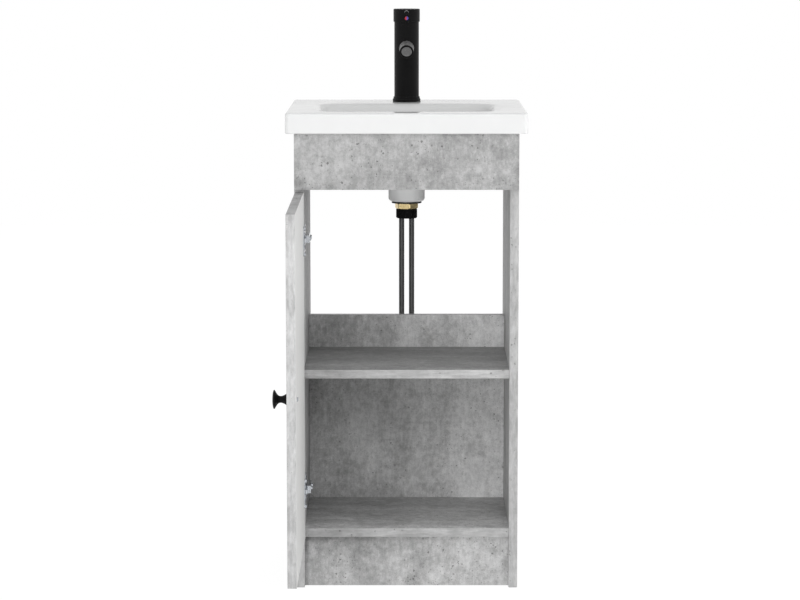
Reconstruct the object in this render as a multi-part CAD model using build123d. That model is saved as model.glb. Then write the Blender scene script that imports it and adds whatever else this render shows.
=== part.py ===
from build123d import *
import os
from math import asin, cos, radians, sin, tan

# Vanity unit: a narrow floor-standing bathroom cabinet with one door, an open service space
# at the back, a glazed ceramic basin on top, a click-clack waste and a single-lever tap.
# Millimetres. The origin is on the floor, on the centre line, at the plinth's front face.
# +Z is up, the front faces -Y and the wall is on the +Y side. The door is modelled open.

# Boards
board = 15.0
carcass_width = 382.0
carcass_depth = 358.0
carcass_height = 787.0
plinth_setback = 17.0
plinth_height = 89.0
shelf_setback = 1.0
middle_shelf_top = 380.5
back_panel_height = 439.0
service_depth = 71.0
front_rail_height = 72.0
rear_rail_height = 87.0
fascia_side_gap = 0.5
fascia_width = carcass_width - 2 * fascia_side_gap
fascia_height = 95.8

# Dowels and wall holes of the carcass
hole_clearance = 0.1
end_clearance = 0.6
dowel_radius = 4.0
dowel_reach = 9.5
fixing_inset = 51.0
wall_hole_radius = 2.75
wall_hole_spread = carcass_width - 2 * fixing_inset

# Door and knob
door_side_gap = 1.5
door_below_shelf = 0.5
door_below_fascia = 4.7
door_width = carcass_width - 2 * door_side_gap
door_bottom = plinth_height - door_below_shelf
door_height = carcass_height - fascia_height - door_below_fascia - door_bottom
door_gap = 2.2
knob_radius = 15.2
knob_height = 24.0
knob_waist_radius = 5.6
knob_foot_radius = 9.0
knob_from_free_edge = 37.5
knob_screw_radius = 2.0
knob_screw_head_radius = 4.0
knob_screw_head_height = 2.4
knob_thread_depth = 11.0
knob_rim_start = 0.84
knob_rim_end = 0.9

# Concealed hinges, one fixed pivot each
hinge_from_end = 82.0
pivot_depth = 9.0
pivot_from_edge = board - pivot_depth
cup_radius = 17.5
cup_depth = 12.0
cup_wall = 0.6
cup_edge_distance = 3.0
flange_thickness = 1.2
flange_height = 52.0
flange_radius = 19.0
cup_screw_spread = 44.0
cup_screw_radius = 1.75
cup_screw_head_radius = 3.5
cup_screw_head_height = 1.5
cup_screw_depth = 10.5
pin_radius = 0.85
pin_length = 16.4
lug_size = 4.4
lug_from_middle = 5.0
pin_clearance = 0.05
press_clearance = 0.02
knuckle_radius = 1.7
neck_width = 7.2
neck_thickness = 2.2
neck_offset = 12.2
neck_notch = 9.6
arm_width = 13.0
arm_height = 11.0
arm_sheet = 1.2
arm_start = 9.0
arm_end = 62.0
plate_from_front = 37.0
plate_thickness = 2.0
plate_length = 24.0
plate_height = 48.0
plate_screw_spread = 32.0
plate_screw_radius = 3.0
plate_screw_depth = 11.0
rib_clearance = 0.3
adjuster_radius = 2.5
adjuster_head_radius = 3.5
adjuster_head_height = 1.4
adjuster_from_middle = 13.0

# Basin
basin_side_overhang = 14.0
basin_front_overhang = 29.0
basin_width = carcass_width + 2 * basin_side_overhang
basin_depth = carcass_depth + basin_front_overhang
basin_rim = 35.0
basin_corner = 7.0
basin_top_round = 4.0
basin_bottom_chamfer = 1.5
bowl_side_margin = 55.0
bowl_from_front = 49.0
tap_deck_depth = 128.0
bowl_width = basin_width - 2 * bowl_side_margin
bowl_length = basin_depth - bowl_from_front - tap_deck_depth
bowl_depth = 122.0
bowl_corner = 40.0
bowl_draft = 14.0
bowl_floor_round = 25.0
bowl_lip_round = 16.0
bowl_wall = 9.0
drain_behind_middle = 15.0
boss_radius = 32.0
boss_bottom_round = 6.0
boss_length = 42.2
drain_hole_radius = 22.5
drain_recess_radius = 33.5
drain_recess_depth = 3.0
deck_thickness = 15.0
deck_pocket_width = bowl_width
deck_pocket_length = 94.0
deck_pocket_corner = 10.0
deck_skirt = 11.0
tap_hole_radius = 17.5
overflow_radius = 11.0
overflow_below_rim = 50.0
overflow_ring_radius = 13.5
overflow_ring_thickness = 1.5
duct_width = 42.0
duct_wall = 7.0
duct_depth = 9.5
passage_width = 24.0
passage_height = 12.0

# Waste
waste_flange_radius = 32.0
waste_flange_thickness = 2.5
waste_seal_thickness = 1.5
waste_tube_radius = 21.8
waste_tube_wall = 2.2
waste_shoulder_drop = 2.5
tail_radius = 16.6
tail_wall = 2.4
tail_length = 27.8
washer_radius = 26.1
washer_thickness = 3.0
backnut_flats = 36.0
backnut_turn = 16.0
backnut_height = 9.6
collar_radius = 18.3
collar_height = 17.0
plug_radius = 30.0
plug_thickness = 5.0
plug_gap = 0.3
plug_edge = 0.4
spindle_radius = 2.5
spindle_length = 46.0
hub_radius = 6.0
strainer_bar = 3.0
strainer_height = 6.0
strainer_above_shoulder = 4.0
hub_height = 10.0
waste_window_width = 18.0
waste_window_low = 14.0
waste_window_high = 28.0

# Tap
tap_from_wall = 60.0
tap_radius = 22.05
tap_height = 142.7
gasket_thickness = 1.5
gasket_inset = 0.55
gasket_radius = tap_radius - gasket_inset
gasket_inner_radius = 17.0
ring_wall = 2.85
ring_step_wall = 1.65
ring_radius = tap_radius + ring_wall
ring_step_radius = tap_radius + ring_step_wall
ring_step_height = 5.5
ring_height = 9.3
spout_height = 97.0
spout_drop = 3.6
spout_reach = 107.0
spout_root_radius = 13.5
spout_tip_radius = 12.0
spout_bore_radius = 6.0
spout_face_tilt = 25.0
spout_rim_chamfer = 1.0
aerator_radius = 9.2
aerator_length = 9.0
cartridge_radius_inset = 4.95
cartridge_radius = tap_radius - cartridge_radius_inset
cartridge_floor = 90.0
cartridge_height = 46.0
nut_radius_inset = 2.85
nut_radius = tap_radius - nut_radius_inset
nut_lip = 3.1
nut_inner_radius = cartridge_radius - nut_lip
nut_height = 6.1
carrier_play = 2.0
carrier_radius = nut_inner_radius - carrier_play
carrier_height = 24.7
stem_size = 8.0
lift_pivot_below_top = 15.0
cap_overhang = 1.55
cap_radius = tap_radius + cap_overhang
cap_wall = 1.25
cap_height = 22.7
cap_top = 4.7
cap_gap = 0.3
cap_chamfer = 1.0
cap_boss_radius = 7.0
cap_boss_length = 16.0
lever_radius = 4.0
lever_length = 46.0
lever_below_top = 6.2
lever_seat = 0.6
lever_stud_radius = 2.45
lever_stud_length = 8.4
mark_radius = 3.25
mark_above_cap_edge = 6.5
grub_radius = 2.5
cross_pin_radius = 1.5
cross_pin_inset = 1.0
cross_pin_length = 2 * (carrier_radius - cross_pin_inset)

# Tap fixing and hoses
stud_from_axis = 12.5
stud_radius = 3.95
stud_above_deck = 13.0
stud_below_deck = 42.0
horseshoe_radius = 23.0
horseshoe_slot = 32.0
horseshoe_front = 7.0
rubber_horseshoe_thickness = 3.0
steel_horseshoe_thickness = 2.5
fixing_nut_flats = 13.0
fixing_nut_height = 6.5
hose_spacing = 18.0
hose_radius = 4.85
hose_bore_radius = 3.0
hose_length = 420.0
hose_stagger = 18.0
shank_radius = 4.95
shank_above_deck = 16.0
shank_hex_flats = 11.0
shank_hex_height = 6.0
shank_hex_below_deck = 22.0
barb_length = 16.0
ferrule_radius = 6.2
ferrule_length = 22.0
end_nut_flats = 19.0
end_nut_height = 16.0
end_nut_bore_radius = 7.6
end_nut_bore_depth = 10.0
end_collar_thickness = 2.0
end_collar_play = 0.2
end_tail_length = 22.0

# Planes that several pieces share
half_width = carcass_width / 2
side_inner = half_width - board
front_y = -plinth_setback
wall_y = front_y + carcass_depth
back_rear_y = wall_y - service_depth
back_front_y = back_rear_y - board
shelf_front_y = front_y + shelf_setback
bottom_shelf_top = plinth_height + board

# Door planes, with the door open at a right angle
door_top = door_bottom + door_height
door_middle = door_bottom + door_height / 2
door_outer_x = -door_width / 2
door_inner_x = door_outer_x + board
pivot_x = door_outer_x + pivot_from_edge
pivot_y = front_y - door_gap - pivot_depth
door_hinge_y = pivot_y + pivot_from_edge
door_free_y = door_hinge_y - door_width
knob_y = door_free_y + knob_from_free_edge
cup_y = door_hinge_y - cup_edge_distance - cup_radius
hinge_heights = (door_bottom + hinge_from_end, door_top - hinge_from_end)

# Basin planes
basin_top = carcass_height + basin_rim
basin_front_y = wall_y - basin_depth
bowl_front_y = basin_front_y + bowl_from_front
bowl_middle_y = bowl_front_y + bowl_length / 2
bowl_floor_z = basin_top - bowl_depth
drain_y = bowl_middle_y + drain_behind_middle
boss_bottom_z = bowl_floor_z - boss_length
deck_under_z = basin_top - deck_thickness

# Tap planes
tap_y = wall_y - tap_from_wall
tap_bottom_z = basin_top + gasket_thickness
tap_top_z = basin_top + tap_height
cap_bottom_z = tap_top_z + cap_gap
cap_top_z = cap_bottom_z + cap_height
lift_pivot_z = tap_top_z - lift_pivot_below_top
hose_sides = (("hot", -1, 0.0), ("cold", 1, hose_stagger))


def block(x_from, x_to, y_from, y_to, z_from, z_to):
    """A box between two corners."""
    size = Box(x_to - x_from, y_to - y_from, z_to - z_from)
    return Pos((x_from + x_to) / 2, (y_from + y_to) / 2, (z_from + z_to) / 2) * size


def rod_x(radius, x_from, x_to, y, z):
    """A round bar along X."""
    bar = Cylinder(radius, abs(x_to - x_from))
    return Pos((x_from + x_to) / 2, y, z) * Rot(0, 90, 0) * bar


def rod_y(radius, x, y_from, y_to, z):
    """A round bar along Y."""
    bar = Cylinder(radius, abs(y_to - y_from))
    return Pos(x, (y_from + y_to) / 2, z) * Rot(90, 0, 0) * bar


def rod_z(radius, x, y, z_from, z_to):
    """A round bar along Z."""
    return Pos(x, y, (z_from + z_to) / 2) * Cylinder(radius, abs(z_to - z_from))


def hex_z(flats, x, y, z_from, z_to, turn=0.0):
    """An upright six-sided bar, with a flat across X before it is turned."""
    outline = RegularPolygon(flats / 2, 6, major_radius=False, rotation=30 + turn)
    return extrude(Pos(x, y, min(z_from, z_to)) * outline, abs(z_to - z_from))


def dome(radius, low, high):
    """The outline of a spherical dome, from its edge to the turning axis."""
    rise = high - low
    ball = (radius ** 2 + rise ** 2) / (2 * rise)
    half_turn = asin(radius / ball) / 2
    middle = (ball * sin(half_turn), high - ball + ball * cos(half_turn))
    return ThreePointArc((radius, low), middle, (0, high))


def save(name, *solids):
    """Write one node: one solid, or a group of separate ones."""
    shape = solids[0] if len(solids) == 1 else Compound(children=list(solids))
    export_step(shape, f"parts/{name}.step")


def shelf_middle(top):
    """Height of the middle of a shelf's thickness."""
    return top - board / 2


def dowel_places():
    """Each end joint with a dowel, as board name, y and z."""
    middle_y = (shelf_front_y + back_front_y) / 2
    return [
        ("middle_shelf", middle_y, shelf_middle(middle_shelf_top)),
        ("bottom_shelf", middle_y, shelf_middle(bottom_shelf_top)),
        ("plinth_board", board / 2, plinth_height / 2),
        ("front_top_rail", front_y + board / 2, carcass_height - front_rail_height / 2),
        ("rear_top_rail", wall_y - board / 2, carcass_height - rear_rail_height / 2),
        ("back_panel", back_rear_y - board / 2, back_panel_height / 2),
    ]


def with_dowels(solid, name):
    """Add the glued dowels that stand out of a board's two ends."""
    for board_name, y, z in dowel_places():
        if board_name == name:
            for side in (-1, 1):
                solid += rod_x(dowel_radius, side * (side_inner - 1), side * (side_inner + dowel_reach), y, z)
    return solid


def side_panel(side):
    """A full-height side with blind bores on its inner face."""
    inner = side * side_inner
    outer = side * half_width
    panel = block(min(inner, outer), max(inner, outer), front_y, wall_y, 0, carcass_height)
    depth = dowel_reach + end_clearance
    for name, y, z in dowel_places():
        panel -= rod_x(dowel_radius + hole_clearance, side * (side_inner - 1), side * (side_inner + depth), y, z)
    return panel


def left_side_panel():
    """The side that carries the hinges."""
    panel = side_panel(-1)
    for height in hinge_heights:
        for y, z in plate_screw_places(height):
            deep = plate_screw_depth + end_clearance
            panel -= rod_x(plate_screw_radius + hole_clearance, -side_inner + 1, -side_inner - deep, y, z)
    return panel


def fascia_dowel_places():
    """The dowels between the front rail and the fascia, as x and z."""
    z = carcass_height - front_rail_height * 2 / 3
    half = carcass_width / 2 - fixing_inset
    return [(-half, z), (half, z)]


def fascia_panel():
    """The fixed front above the door."""
    half = fascia_width / 2
    panel = block(-half, half, front_y - board, front_y, carcass_height - fascia_height, carcass_height)
    for x, z in fascia_dowel_places():
        deep = dowel_reach + end_clearance
        panel -= rod_y(dowel_radius + hole_clearance, x, front_y - deep, front_y + 1, z)
    return panel


def front_top_rail():
    """The upright rail behind the fascia, with the dowels that carry the fascia."""
    low = carcass_height - front_rail_height
    rail = block(-side_inner, side_inner, front_y, front_y + board, low, carcass_height)
    rail = with_dowels(rail, "front_top_rail")
    for x, z in fascia_dowel_places():
        rail += rod_y(dowel_radius, x, front_y - dowel_reach, front_y + 1, z)
    return rail


def wall_hole_places():
    """The two wall fixing holes of the rear rail, as x and z."""
    z = carcass_height - rear_rail_height / 2
    return [(-wall_hole_spread / 2, z), (wall_hole_spread / 2, z)]


def rear_top_rail():
    """The upright rail that is screwed to the wall."""
    low = carcass_height - rear_rail_height
    rail = block(-side_inner, side_inner, wall_y - board, wall_y, low, carcass_height)
    rail = with_dowels(rail, "rear_top_rail")
    for x, z in wall_hole_places():
        rail -= rod_y(wall_hole_radius, x, wall_y - board - 1, wall_y + 1, z)
    return rail


def shelf(name, top):
    """A fixed shelf between the sides, up to the back panel."""
    solid = block(-side_inner, side_inner, shelf_front_y, back_front_y, top - board, top)
    return with_dowels(solid, name)


def plinth_board():
    """The recessed board under the bottom shelf."""
    solid = block(-side_inner, side_inner, 0, board, 0, plinth_height)
    return with_dowels(solid, "plinth_board")


def back_panel():
    """The low back, set forward of the wall to leave room for the plumbing."""
    solid = block(-side_inner, side_inner, back_front_y, back_rear_y, 0, back_panel_height)
    return with_dowels(solid, "back_panel")


def cup_screw_places(height):
    """Heights of a hinge cup's two screws."""
    return (height - cup_screw_spread / 2, height + cup_screw_spread / 2)


def plate_screw_places(height):
    """The two screws of a mounting plate, as y and z."""
    y = front_y + plate_from_front
    half = plate_screw_spread / 2
    return [(y, height - half), (y, height + half)]


def door_panel():
    """The door, bored for its hinge cups and its knob."""
    panel = block(door_outer_x, door_inner_x, door_free_y, door_hinge_y, door_bottom, door_top)
    for height in hinge_heights:
        deep = cup_depth + hole_clearance
        panel -= rod_x(cup_radius, door_inner_x + 1, door_inner_x - deep, cup_y, height)
        for z in cup_screw_places(height):
            hole = cup_screw_radius + hole_clearance
            panel -= rod_x(hole, door_inner_x + 1, door_inner_x - cup_screw_depth - end_clearance, cup_y, z)
    bore = knob_screw_radius + 2 * hole_clearance
    panel -= rod_x(bore, door_outer_x - 1, door_inner_x + 1, knob_y, door_middle)
    return panel


def door_knob():
    """A turned mushroom knob on the door's outer face."""
    top = knob_height
    bore = knob_screw_radius + hole_clearance
    outline = Line((bore, 0), (knob_foot_radius, 0))
    outline += Line((knob_foot_radius, 0), (knob_foot_radius, 1.5))
    outline += Spline(
        (knob_foot_radius, 1.5),
        (knob_waist_radius, top * 0.36),
        (knob_waist_radius + 1.4, top * 0.62),
        (knob_radius, top * knob_rim_start),
    )
    outline += Line((knob_radius, top * knob_rim_start), (knob_radius, top * knob_rim_end))
    outline += dome(knob_radius, top * knob_rim_end, top)
    outline += Polyline((0, top), (0, knob_thread_depth), (bore, knob_thread_depth), (bore, 0))
    solid = revolve(Plane.XZ * make_face(outline), Axis.Z)
    return Pos(door_outer_x, knob_y, door_middle) * Rot(0, -90, 0) * solid


def knob_screw():
    """The pan-head screw through the door into the knob."""
    head = rod_x(knob_screw_head_radius, door_inner_x, door_inner_x + knob_screw_head_height, knob_y, door_middle)
    head = chamfer(head.edges().sort_by(Axis.X)[-1], 0.8)
    end = door_outer_x - knob_thread_depth + 1
    return head + rod_x(knob_screw_radius, end, door_inner_x + 0.5, knob_y, door_middle)


def hinge_cup(height):
    """A pressed cup let into the door, with its flange, its screws and the neck's notch."""
    radius = cup_radius - hole_clearance / 2
    inner = radius - cup_wall
    floor_x = door_inner_x - cup_depth
    face_x = door_inner_x + flange_thickness
    cup = rod_x(radius, floor_x, door_inner_x, cup_y, height)
    ends = Pos(door_inner_x, cup_y, height) * Rot(0, 90, 0) * SlotOverall(flange_height, 2 * flange_radius - 16)
    flange = extrude(ends, flange_thickness)
    flange += rod_x(flange_radius, door_inner_x, face_x, cup_y, height)
    edge = cup_y + radius
    flange -= block(door_inner_x - 1, face_x + 1, edge, edge + flange_radius, height - 30, height + 30)
    cup = cup + flange
    cup -= rod_x(inner, floor_x + cup_wall, face_x + 1, cup_y, height)
    half = neck_notch / 2
    cup -= block(floor_x + cup_wall, face_x + 1, pivot_y, edge + 5, height - half, height + half)
    reach = lug_size / 2
    lug = block(pivot_x - reach, pivot_x + reach, pivot_y - reach, edge, height - radius, height + radius)
    lug = lug & rod_x(radius - cup_wall / 2, floor_x, door_inner_x, cup_y, height)
    lug -= block(floor_x, face_x, pivot_y - 10, edge + 5, height - lug_from_middle, height + lug_from_middle)
    cup += lug
    for z in cup_screw_places(height):
        cup += rod_x(cup_screw_head_radius, door_inner_x, face_x + cup_screw_head_height, cup_y, z)
        cup += rod_x(cup_screw_radius, door_inner_x - cup_screw_depth, face_x, cup_y, z)
    pin = pin_radius + press_clearance
    return cup - rod_z(pin, pivot_x, pivot_y, height - pin_length / 2, height + pin_length / 2)


def hinge_arm(height):
    """A goose-neck arm from the cup's pin to a channel with its two adjusting screws."""
    half = neck_width / 2
    thin = neck_thickness / 2
    leg_x = pivot_x + neck_offset
    start = front_y + arm_start
    end = front_y + arm_end
    leg_one = block(pivot_x, leg_x + thin, pivot_y - thin, pivot_y + thin, height - half, height + half)
    leg_two = block(leg_x - thin, leg_x + thin, pivot_y - thin, start + arm_sheet, height - half, height + half)
    neck = leg_one + leg_two
    outer = neck.edges().filter_by(Axis.Z).sort_by(Axis.Y)[:2].sort_by(Axis.X)[-1]
    neck = fillet(outer, 1.8)
    neck += rod_z(knuckle_radius, pivot_x, pivot_y, height - half, height + half)
    low = -side_inner + plate_thickness + 0.5
    top = -side_inner + arm_height
    wide = arm_width / 2
    channel = block(low, top, start, end, height - wide, height + wide)
    channel = fillet(channel.edges().filter_by(Axis.Y).sort_by(Axis.X)[-2:], 1.5)
    inner = wide - arm_sheet
    channel -= block(low - 1, top - arm_sheet, start + arm_sheet, end + 1, height - inner, height + inner)
    arm = neck + channel
    arm -= rod_z(pin_radius + pin_clearance, pivot_x, pivot_y, height - 20, height + 20)
    for y in adjuster_places():
        arm += rod_x(adjuster_head_radius, top - arm_sheet, top + adjuster_head_height, y, height)
        arm += rod_x(adjuster_radius, -side_inner + plate_thickness, top, y, height)
    return arm


def adjuster_places():
    """The two screws along an arm's channel, as y."""
    middle = front_y + plate_from_front
    return (middle - adjuster_from_middle, middle + adjuster_from_middle)


def mounting_plate(height):
    """A winged plate with its two screws, and the rib that carries the arm."""
    middle = front_y + plate_from_front
    low = -side_inner
    face = low + plate_thickness
    wing = plate_height / 2
    half = plate_length / 2
    plate = block(low, face, middle - half, middle + half, height - wing, height + wing)
    plate = fillet(plate.edges().filter_by(Axis.X), 4)
    rib_half = arm_width / 2 - arm_sheet - rib_clearance
    rib_top = low + arm_height - arm_sheet - rib_clearance
    long_half = half + 6
    plate += block(low, rib_top, middle - long_half, middle + long_half, height - rib_half, height + rib_half)
    for y, z in plate_screw_places(height):
        plate += rod_x(plate_screw_radius, low - plate_screw_depth, low + 1, y, z)
    for y in adjuster_places():
        plate -= rod_x(adjuster_radius + hole_clearance, low + 1, rib_top + 1, y, height)
    return plate


def hinge_pin(height):
    """The pin that the cup turns on."""
    return rod_z(pin_radius, pivot_x, pivot_y, height - pin_length / 2, height + pin_length / 2)


def bowl_form(width, length, corner, top_z, depth, floor_round):
    """A drafted bowl shape, wide at the top, with a rounded floor."""
    outline = Pos(0, bowl_middle_y, top_z) * RectangleRounded(width, length, corner)
    solid = extrude(outline, depth, dir=(0, 0, -1), taper=bowl_draft)
    floor = solid.edges().group_by(Axis.Z)[0]
    return fillet(floor, floor_round)


def overflow_axis():
    """The plane of the bowl's rear wall at the overflow, facing out of the bowl."""
    y = bowl_front_y + bowl_length - overflow_below_rim * tan(radians(bowl_draft))
    slope = radians(bowl_draft)
    return Plane((0, y, basin_top - overflow_below_rim), x_dir=(1, 0, 0), z_dir=(0, cos(slope), -sin(slope)))


def overflow_duct():
    """The outside of the duct that leads from the overflow down to the drain."""
    slope = tan(radians(bowl_draft))
    reach = bowl_wall + duct_depth + duct_wall
    rear = bowl_front_y + bowl_length + reach - basin_rim * slope
    foot = boss_bottom_z + boss_bottom_round
    low_rear = rear - (carcass_height - bowl_floor_z) * slope
    outline = Polyline(
        (drain_y, bowl_floor_z - 2),
        (drain_y, foot),
        (drain_y + boss_radius, foot),
        (low_rear, bowl_floor_z + 4),
        (rear, carcass_height - 8),
        (rear, carcass_height + 2),
        (bowl_middle_y, carcass_height + 2),
        close=True,
    )
    return extrude(Plane.YZ * make_face(outline), duct_width / 2, both=True)


def overflow_passage():
    """The hollow of the duct, from behind the overflow hole down into the drain's bore."""
    slope = tan(radians(bowl_draft))
    wall = bowl_wall / cos(radians(bowl_draft))
    top = basin_top - overflow_below_rim + overflow_radius
    bend = bowl_floor_z + bowl_wall
    upper = bowl_front_y + bowl_length + wall - (basin_top - top) * slope
    lower = bowl_front_y + bowl_length + wall - (basin_top - bend) * slope
    inside_bore = drain_y + drain_hole_radius / 2
    inlet_top = bowl_floor_z - 2 * bowl_wall
    outline = Polyline(
        (upper, top),
        (upper + duct_depth, top),
        (lower + duct_depth, bend),
        (drain_y + drain_hole_radius + duct_wall, inlet_top - passage_height),
        (inside_bore, inlet_top - passage_height),
        (inside_bore, inlet_top),
        (lower, bend),
        close=True,
    )
    return extrude(Plane.YZ * make_face(outline), passage_width / 2, both=True)


def ceramic_basin():
    """The glazed basin: a thick rim, a drafted bowl, a drain boss and a tap deck."""
    half = basin_width / 2
    slab = block(-half, half, basin_front_y, wall_y, carcass_height, basin_top)
    slab = fillet(slab.edges().filter_by(Axis.Z), basin_corner)
    slab = fillet(slab.faces().sort_by(Axis.Z)[-1].edges(), basin_top_round)
    slab = chamfer(slab.faces().sort_by(Axis.Z)[0].edges(), basin_bottom_chamfer)
    slope = tan(radians(bowl_draft))
    wall = bowl_wall / cos(radians(bowl_draft))
    grow = 2 * (wall - (basin_rim - 2) * slope)
    outer_depth = bowl_depth - basin_rim + bowl_wall + 2
    under = bowl_form(
        bowl_width + grow,
        bowl_length + grow,
        bowl_corner + grow / 2,
        carcass_height + 2,
        outer_depth,
        bowl_floor_round + bowl_wall / 2,
    )
    boss = rod_z(boss_radius, 0, drain_y, boss_bottom_z, bowl_floor_z)
    boss = fillet(boss.edges().sort_by(Axis.Z)[0], boss_bottom_round)
    body = slab + under + boss + overflow_duct()
    body -= bowl_form(bowl_width, bowl_length, bowl_corner, basin_top, bowl_depth, bowl_floor_round)
    lip = body.edges().filter_by(lambda e: on_lip(e))
    body = fillet(lip, bowl_lip_round)
    body -= rod_z(drain_hole_radius, 0, drain_y, boss_bottom_z - 1, basin_top)
    body -= rod_z(drain_recess_radius, 0, drain_y, bowl_floor_z - drain_recess_depth, basin_top - bowl_wall)
    body -= deck_pocket()
    body -= rod_z(tap_hole_radius, 0, tap_y, carcass_height, basin_top + 1)
    body -= overflow_passage()
    hole = Cylinder(overflow_radius, 2 * (bowl_wall + duct_depth) - 4)
    return body - overflow_axis().location * hole


def on_lip(edge):
    """True for an edge of the bowl's mouth on the basin's top face."""
    middle = edge.center()
    inside = abs(middle.X) < basin_width / 2 - 20 and abs(middle.Y - bowl_middle_y) < bowl_length / 2 + 1
    return inside and abs(middle.Z - basin_top) < 0.01


def deck_pocket():
    """The hollow under the tap deck."""
    rear = wall_y - deck_skirt
    half = deck_pocket_width / 2
    pocket = block(-half, half, rear - deck_pocket_length, rear, carcass_height - 1, deck_under_z)
    return fillet(pocket.edges().filter_by(Axis.Z), deck_pocket_corner)


def overflow_ring():
    """The trim ring pressed into the overflow hole."""
    flange = Cylinder(overflow_ring_radius, overflow_ring_thickness, align=(Align.CENTER, Align.CENTER, Align.MAX))
    sleeve = Cylinder(overflow_radius - hole_clearance, 7, align=(Align.CENTER, Align.CENTER, Align.MIN))
    bore = Cylinder(overflow_radius - 1.5, 40)
    return overflow_axis().location * (flange + sleeve - bore)


def waste_levels():
    """Heights of the waste's flange top, shoulder and tail end."""
    seat = bowl_floor_z - drain_recess_depth + waste_seal_thickness
    shoulder = boss_bottom_z + waste_shoulder_drop
    end = shoulder - waste_shoulder_drop - tail_length
    return seat, seat + waste_flange_thickness, shoulder, end


def waste_body():
    """The flanged waste with its strainer, overflow windows and threaded tail."""
    seat, top, shoulder, end = waste_levels()
    bars_low = shoulder + strainer_above_shoulder
    hub_low = bars_low - (hub_height - strainer_height) / 2
    body = rod_z(waste_flange_radius, 0, drain_y, seat, top)
    body = chamfer(body.edges().sort_by(Axis.Z)[-1], 1.2)
    body += rod_z(waste_tube_radius, 0, drain_y, shoulder, seat)
    body += rod_z(tail_radius, 0, drain_y, end, shoulder)
    body -= rod_z(waste_tube_radius - waste_tube_wall, 0, drain_y, shoulder + waste_tube_wall, top + 1)
    body -= rod_z(tail_radius - tail_wall, 0, drain_y, end - 1, shoulder + 5)
    side = waste_window_width / 2
    through = waste_tube_radius + 1
    window = (shoulder + waste_window_low, shoulder + waste_window_high)
    body -= block(-side, side, drain_y - through, drain_y + through, *window)
    long = waste_tube_radius - waste_tube_wall / 2
    half = strainer_bar / 2
    body += block(-long, long, drain_y - half, drain_y + half, bars_low, bars_low + strainer_height)
    body += block(-half, half, drain_y - long, drain_y + long, bars_low, bars_low + strainer_height)
    body += rod_z(hub_radius, 0, drain_y, hub_low, hub_low + hub_height)
    bore = spindle_radius + pin_clearance
    return body - rod_z(bore, 0, drain_y, hub_low - 1, hub_low + hub_height + 1)


def waste_seal():
    """The foam seal under the waste's flange."""
    seat, top, shoulder, end = waste_levels()
    seal = rod_z(waste_flange_radius - 1, 0, drain_y, seat - waste_seal_thickness, seat)
    return seal - rod_z(drain_hole_radius, 0, drain_y, seat - 5, seat + 1)


def waste_washer():
    """The rubber washer under the ceramic boss."""
    washer = rod_z(washer_radius, 0, drain_y, boss_bottom_z - washer_thickness, boss_bottom_z)
    return washer - rod_z(tail_radius + 0.3, 0, drain_y, boss_bottom_z - 10, boss_bottom_z + 1)


def waste_backnut():
    """The brass nut that clamps the waste to the basin."""
    top = boss_bottom_z - washer_thickness
    nut = hex_z(backnut_flats, 0, drain_y, top - backnut_height, top, backnut_turn)
    cone_radius = backnut_flats / 2 / cos(radians(30)) - 0.4
    crown = Pos(0, drain_y, top - backnut_height / 2) * Cylinder(cone_radius, backnut_height)
    crown = chamfer(crown.edges().filter_by(GeomType.CIRCLE), 1.4)
    nut = nut & crown
    return nut - rod_z(tail_radius + hole_clearance, 0, drain_y, top - 30, top + 1)


def waste_collar():
    """The black collar on the end of the tail."""
    top = boss_bottom_z - washer_thickness - backnut_height
    low = top - collar_height
    seat, flange_top, shoulder, end = waste_levels()
    collar = rod_z(collar_radius, 0, drain_y, low, top)
    collar = chamfer(collar.edges().filter_by(GeomType.CIRCLE), 0.8)
    collar -= rod_z(tail_radius + hole_clearance, 0, drain_y, end, top + 1)
    return collar - rod_z(tail_radius - tail_wall, 0, drain_y, low - 1, end + 1)


def plug_cap():
    """The domed plug over the waste."""
    seat, top, shoulder, end = waste_levels()
    low = top + plug_gap
    bore = spindle_radius + press_clearance
    deep = plug_thickness / 2
    outline = Line((bore, 0), (plug_radius, 0))
    outline += Line((plug_radius, 0), (plug_radius, plug_thickness * plug_edge))
    outline += dome(plug_radius, plug_thickness * plug_edge, plug_thickness)
    outline += Polyline((0, plug_thickness), (0, deep), (bore, deep), (bore, 0))
    return Pos(0, drain_y, low) * revolve(Plane.XZ * make_face(outline), Axis.Z)


def plug_spindle():
    """The spindle that guides the plug in the strainer's hub."""
    seat, top, shoulder, end = waste_levels()
    high = top + plug_gap + plug_thickness / 2
    return rod_z(spindle_radius, 0, drain_y, high - spindle_length, high)


def spout_plane():
    """The spout's axis, from the tap's middle to the tip."""
    start = Vector(0, tap_y, basin_top + spout_height)
    end = Vector(0, tap_y - spout_reach, basin_top + spout_height - spout_drop)
    return Plane(start, x_dir=(1, 0, 0), z_dir=end - start)


def spout_face():
    """The plane of the spout's end, which looks forward and down."""
    tilt = radians(spout_face_tilt)
    centre = (0, tap_y - spout_reach, basin_top + spout_height - spout_drop)
    return Plane(centre, x_dir=(1, 0, 0), z_dir=(0, -cos(tilt), -sin(tilt)))


def tap_bore_places():
    """The bores in the tap's foot, as x, y, radius and height above the deck."""
    places = [(0, tap_y + stud_from_axis, stud_radius + 0.05, stud_above_deck + end_clearance)]
    for name, side, drop in hose_sides:
        places.append((side * hose_spacing / 2, tap_y, shank_radius + 0.05, shank_above_deck + end_clearance))
    return places


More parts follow.
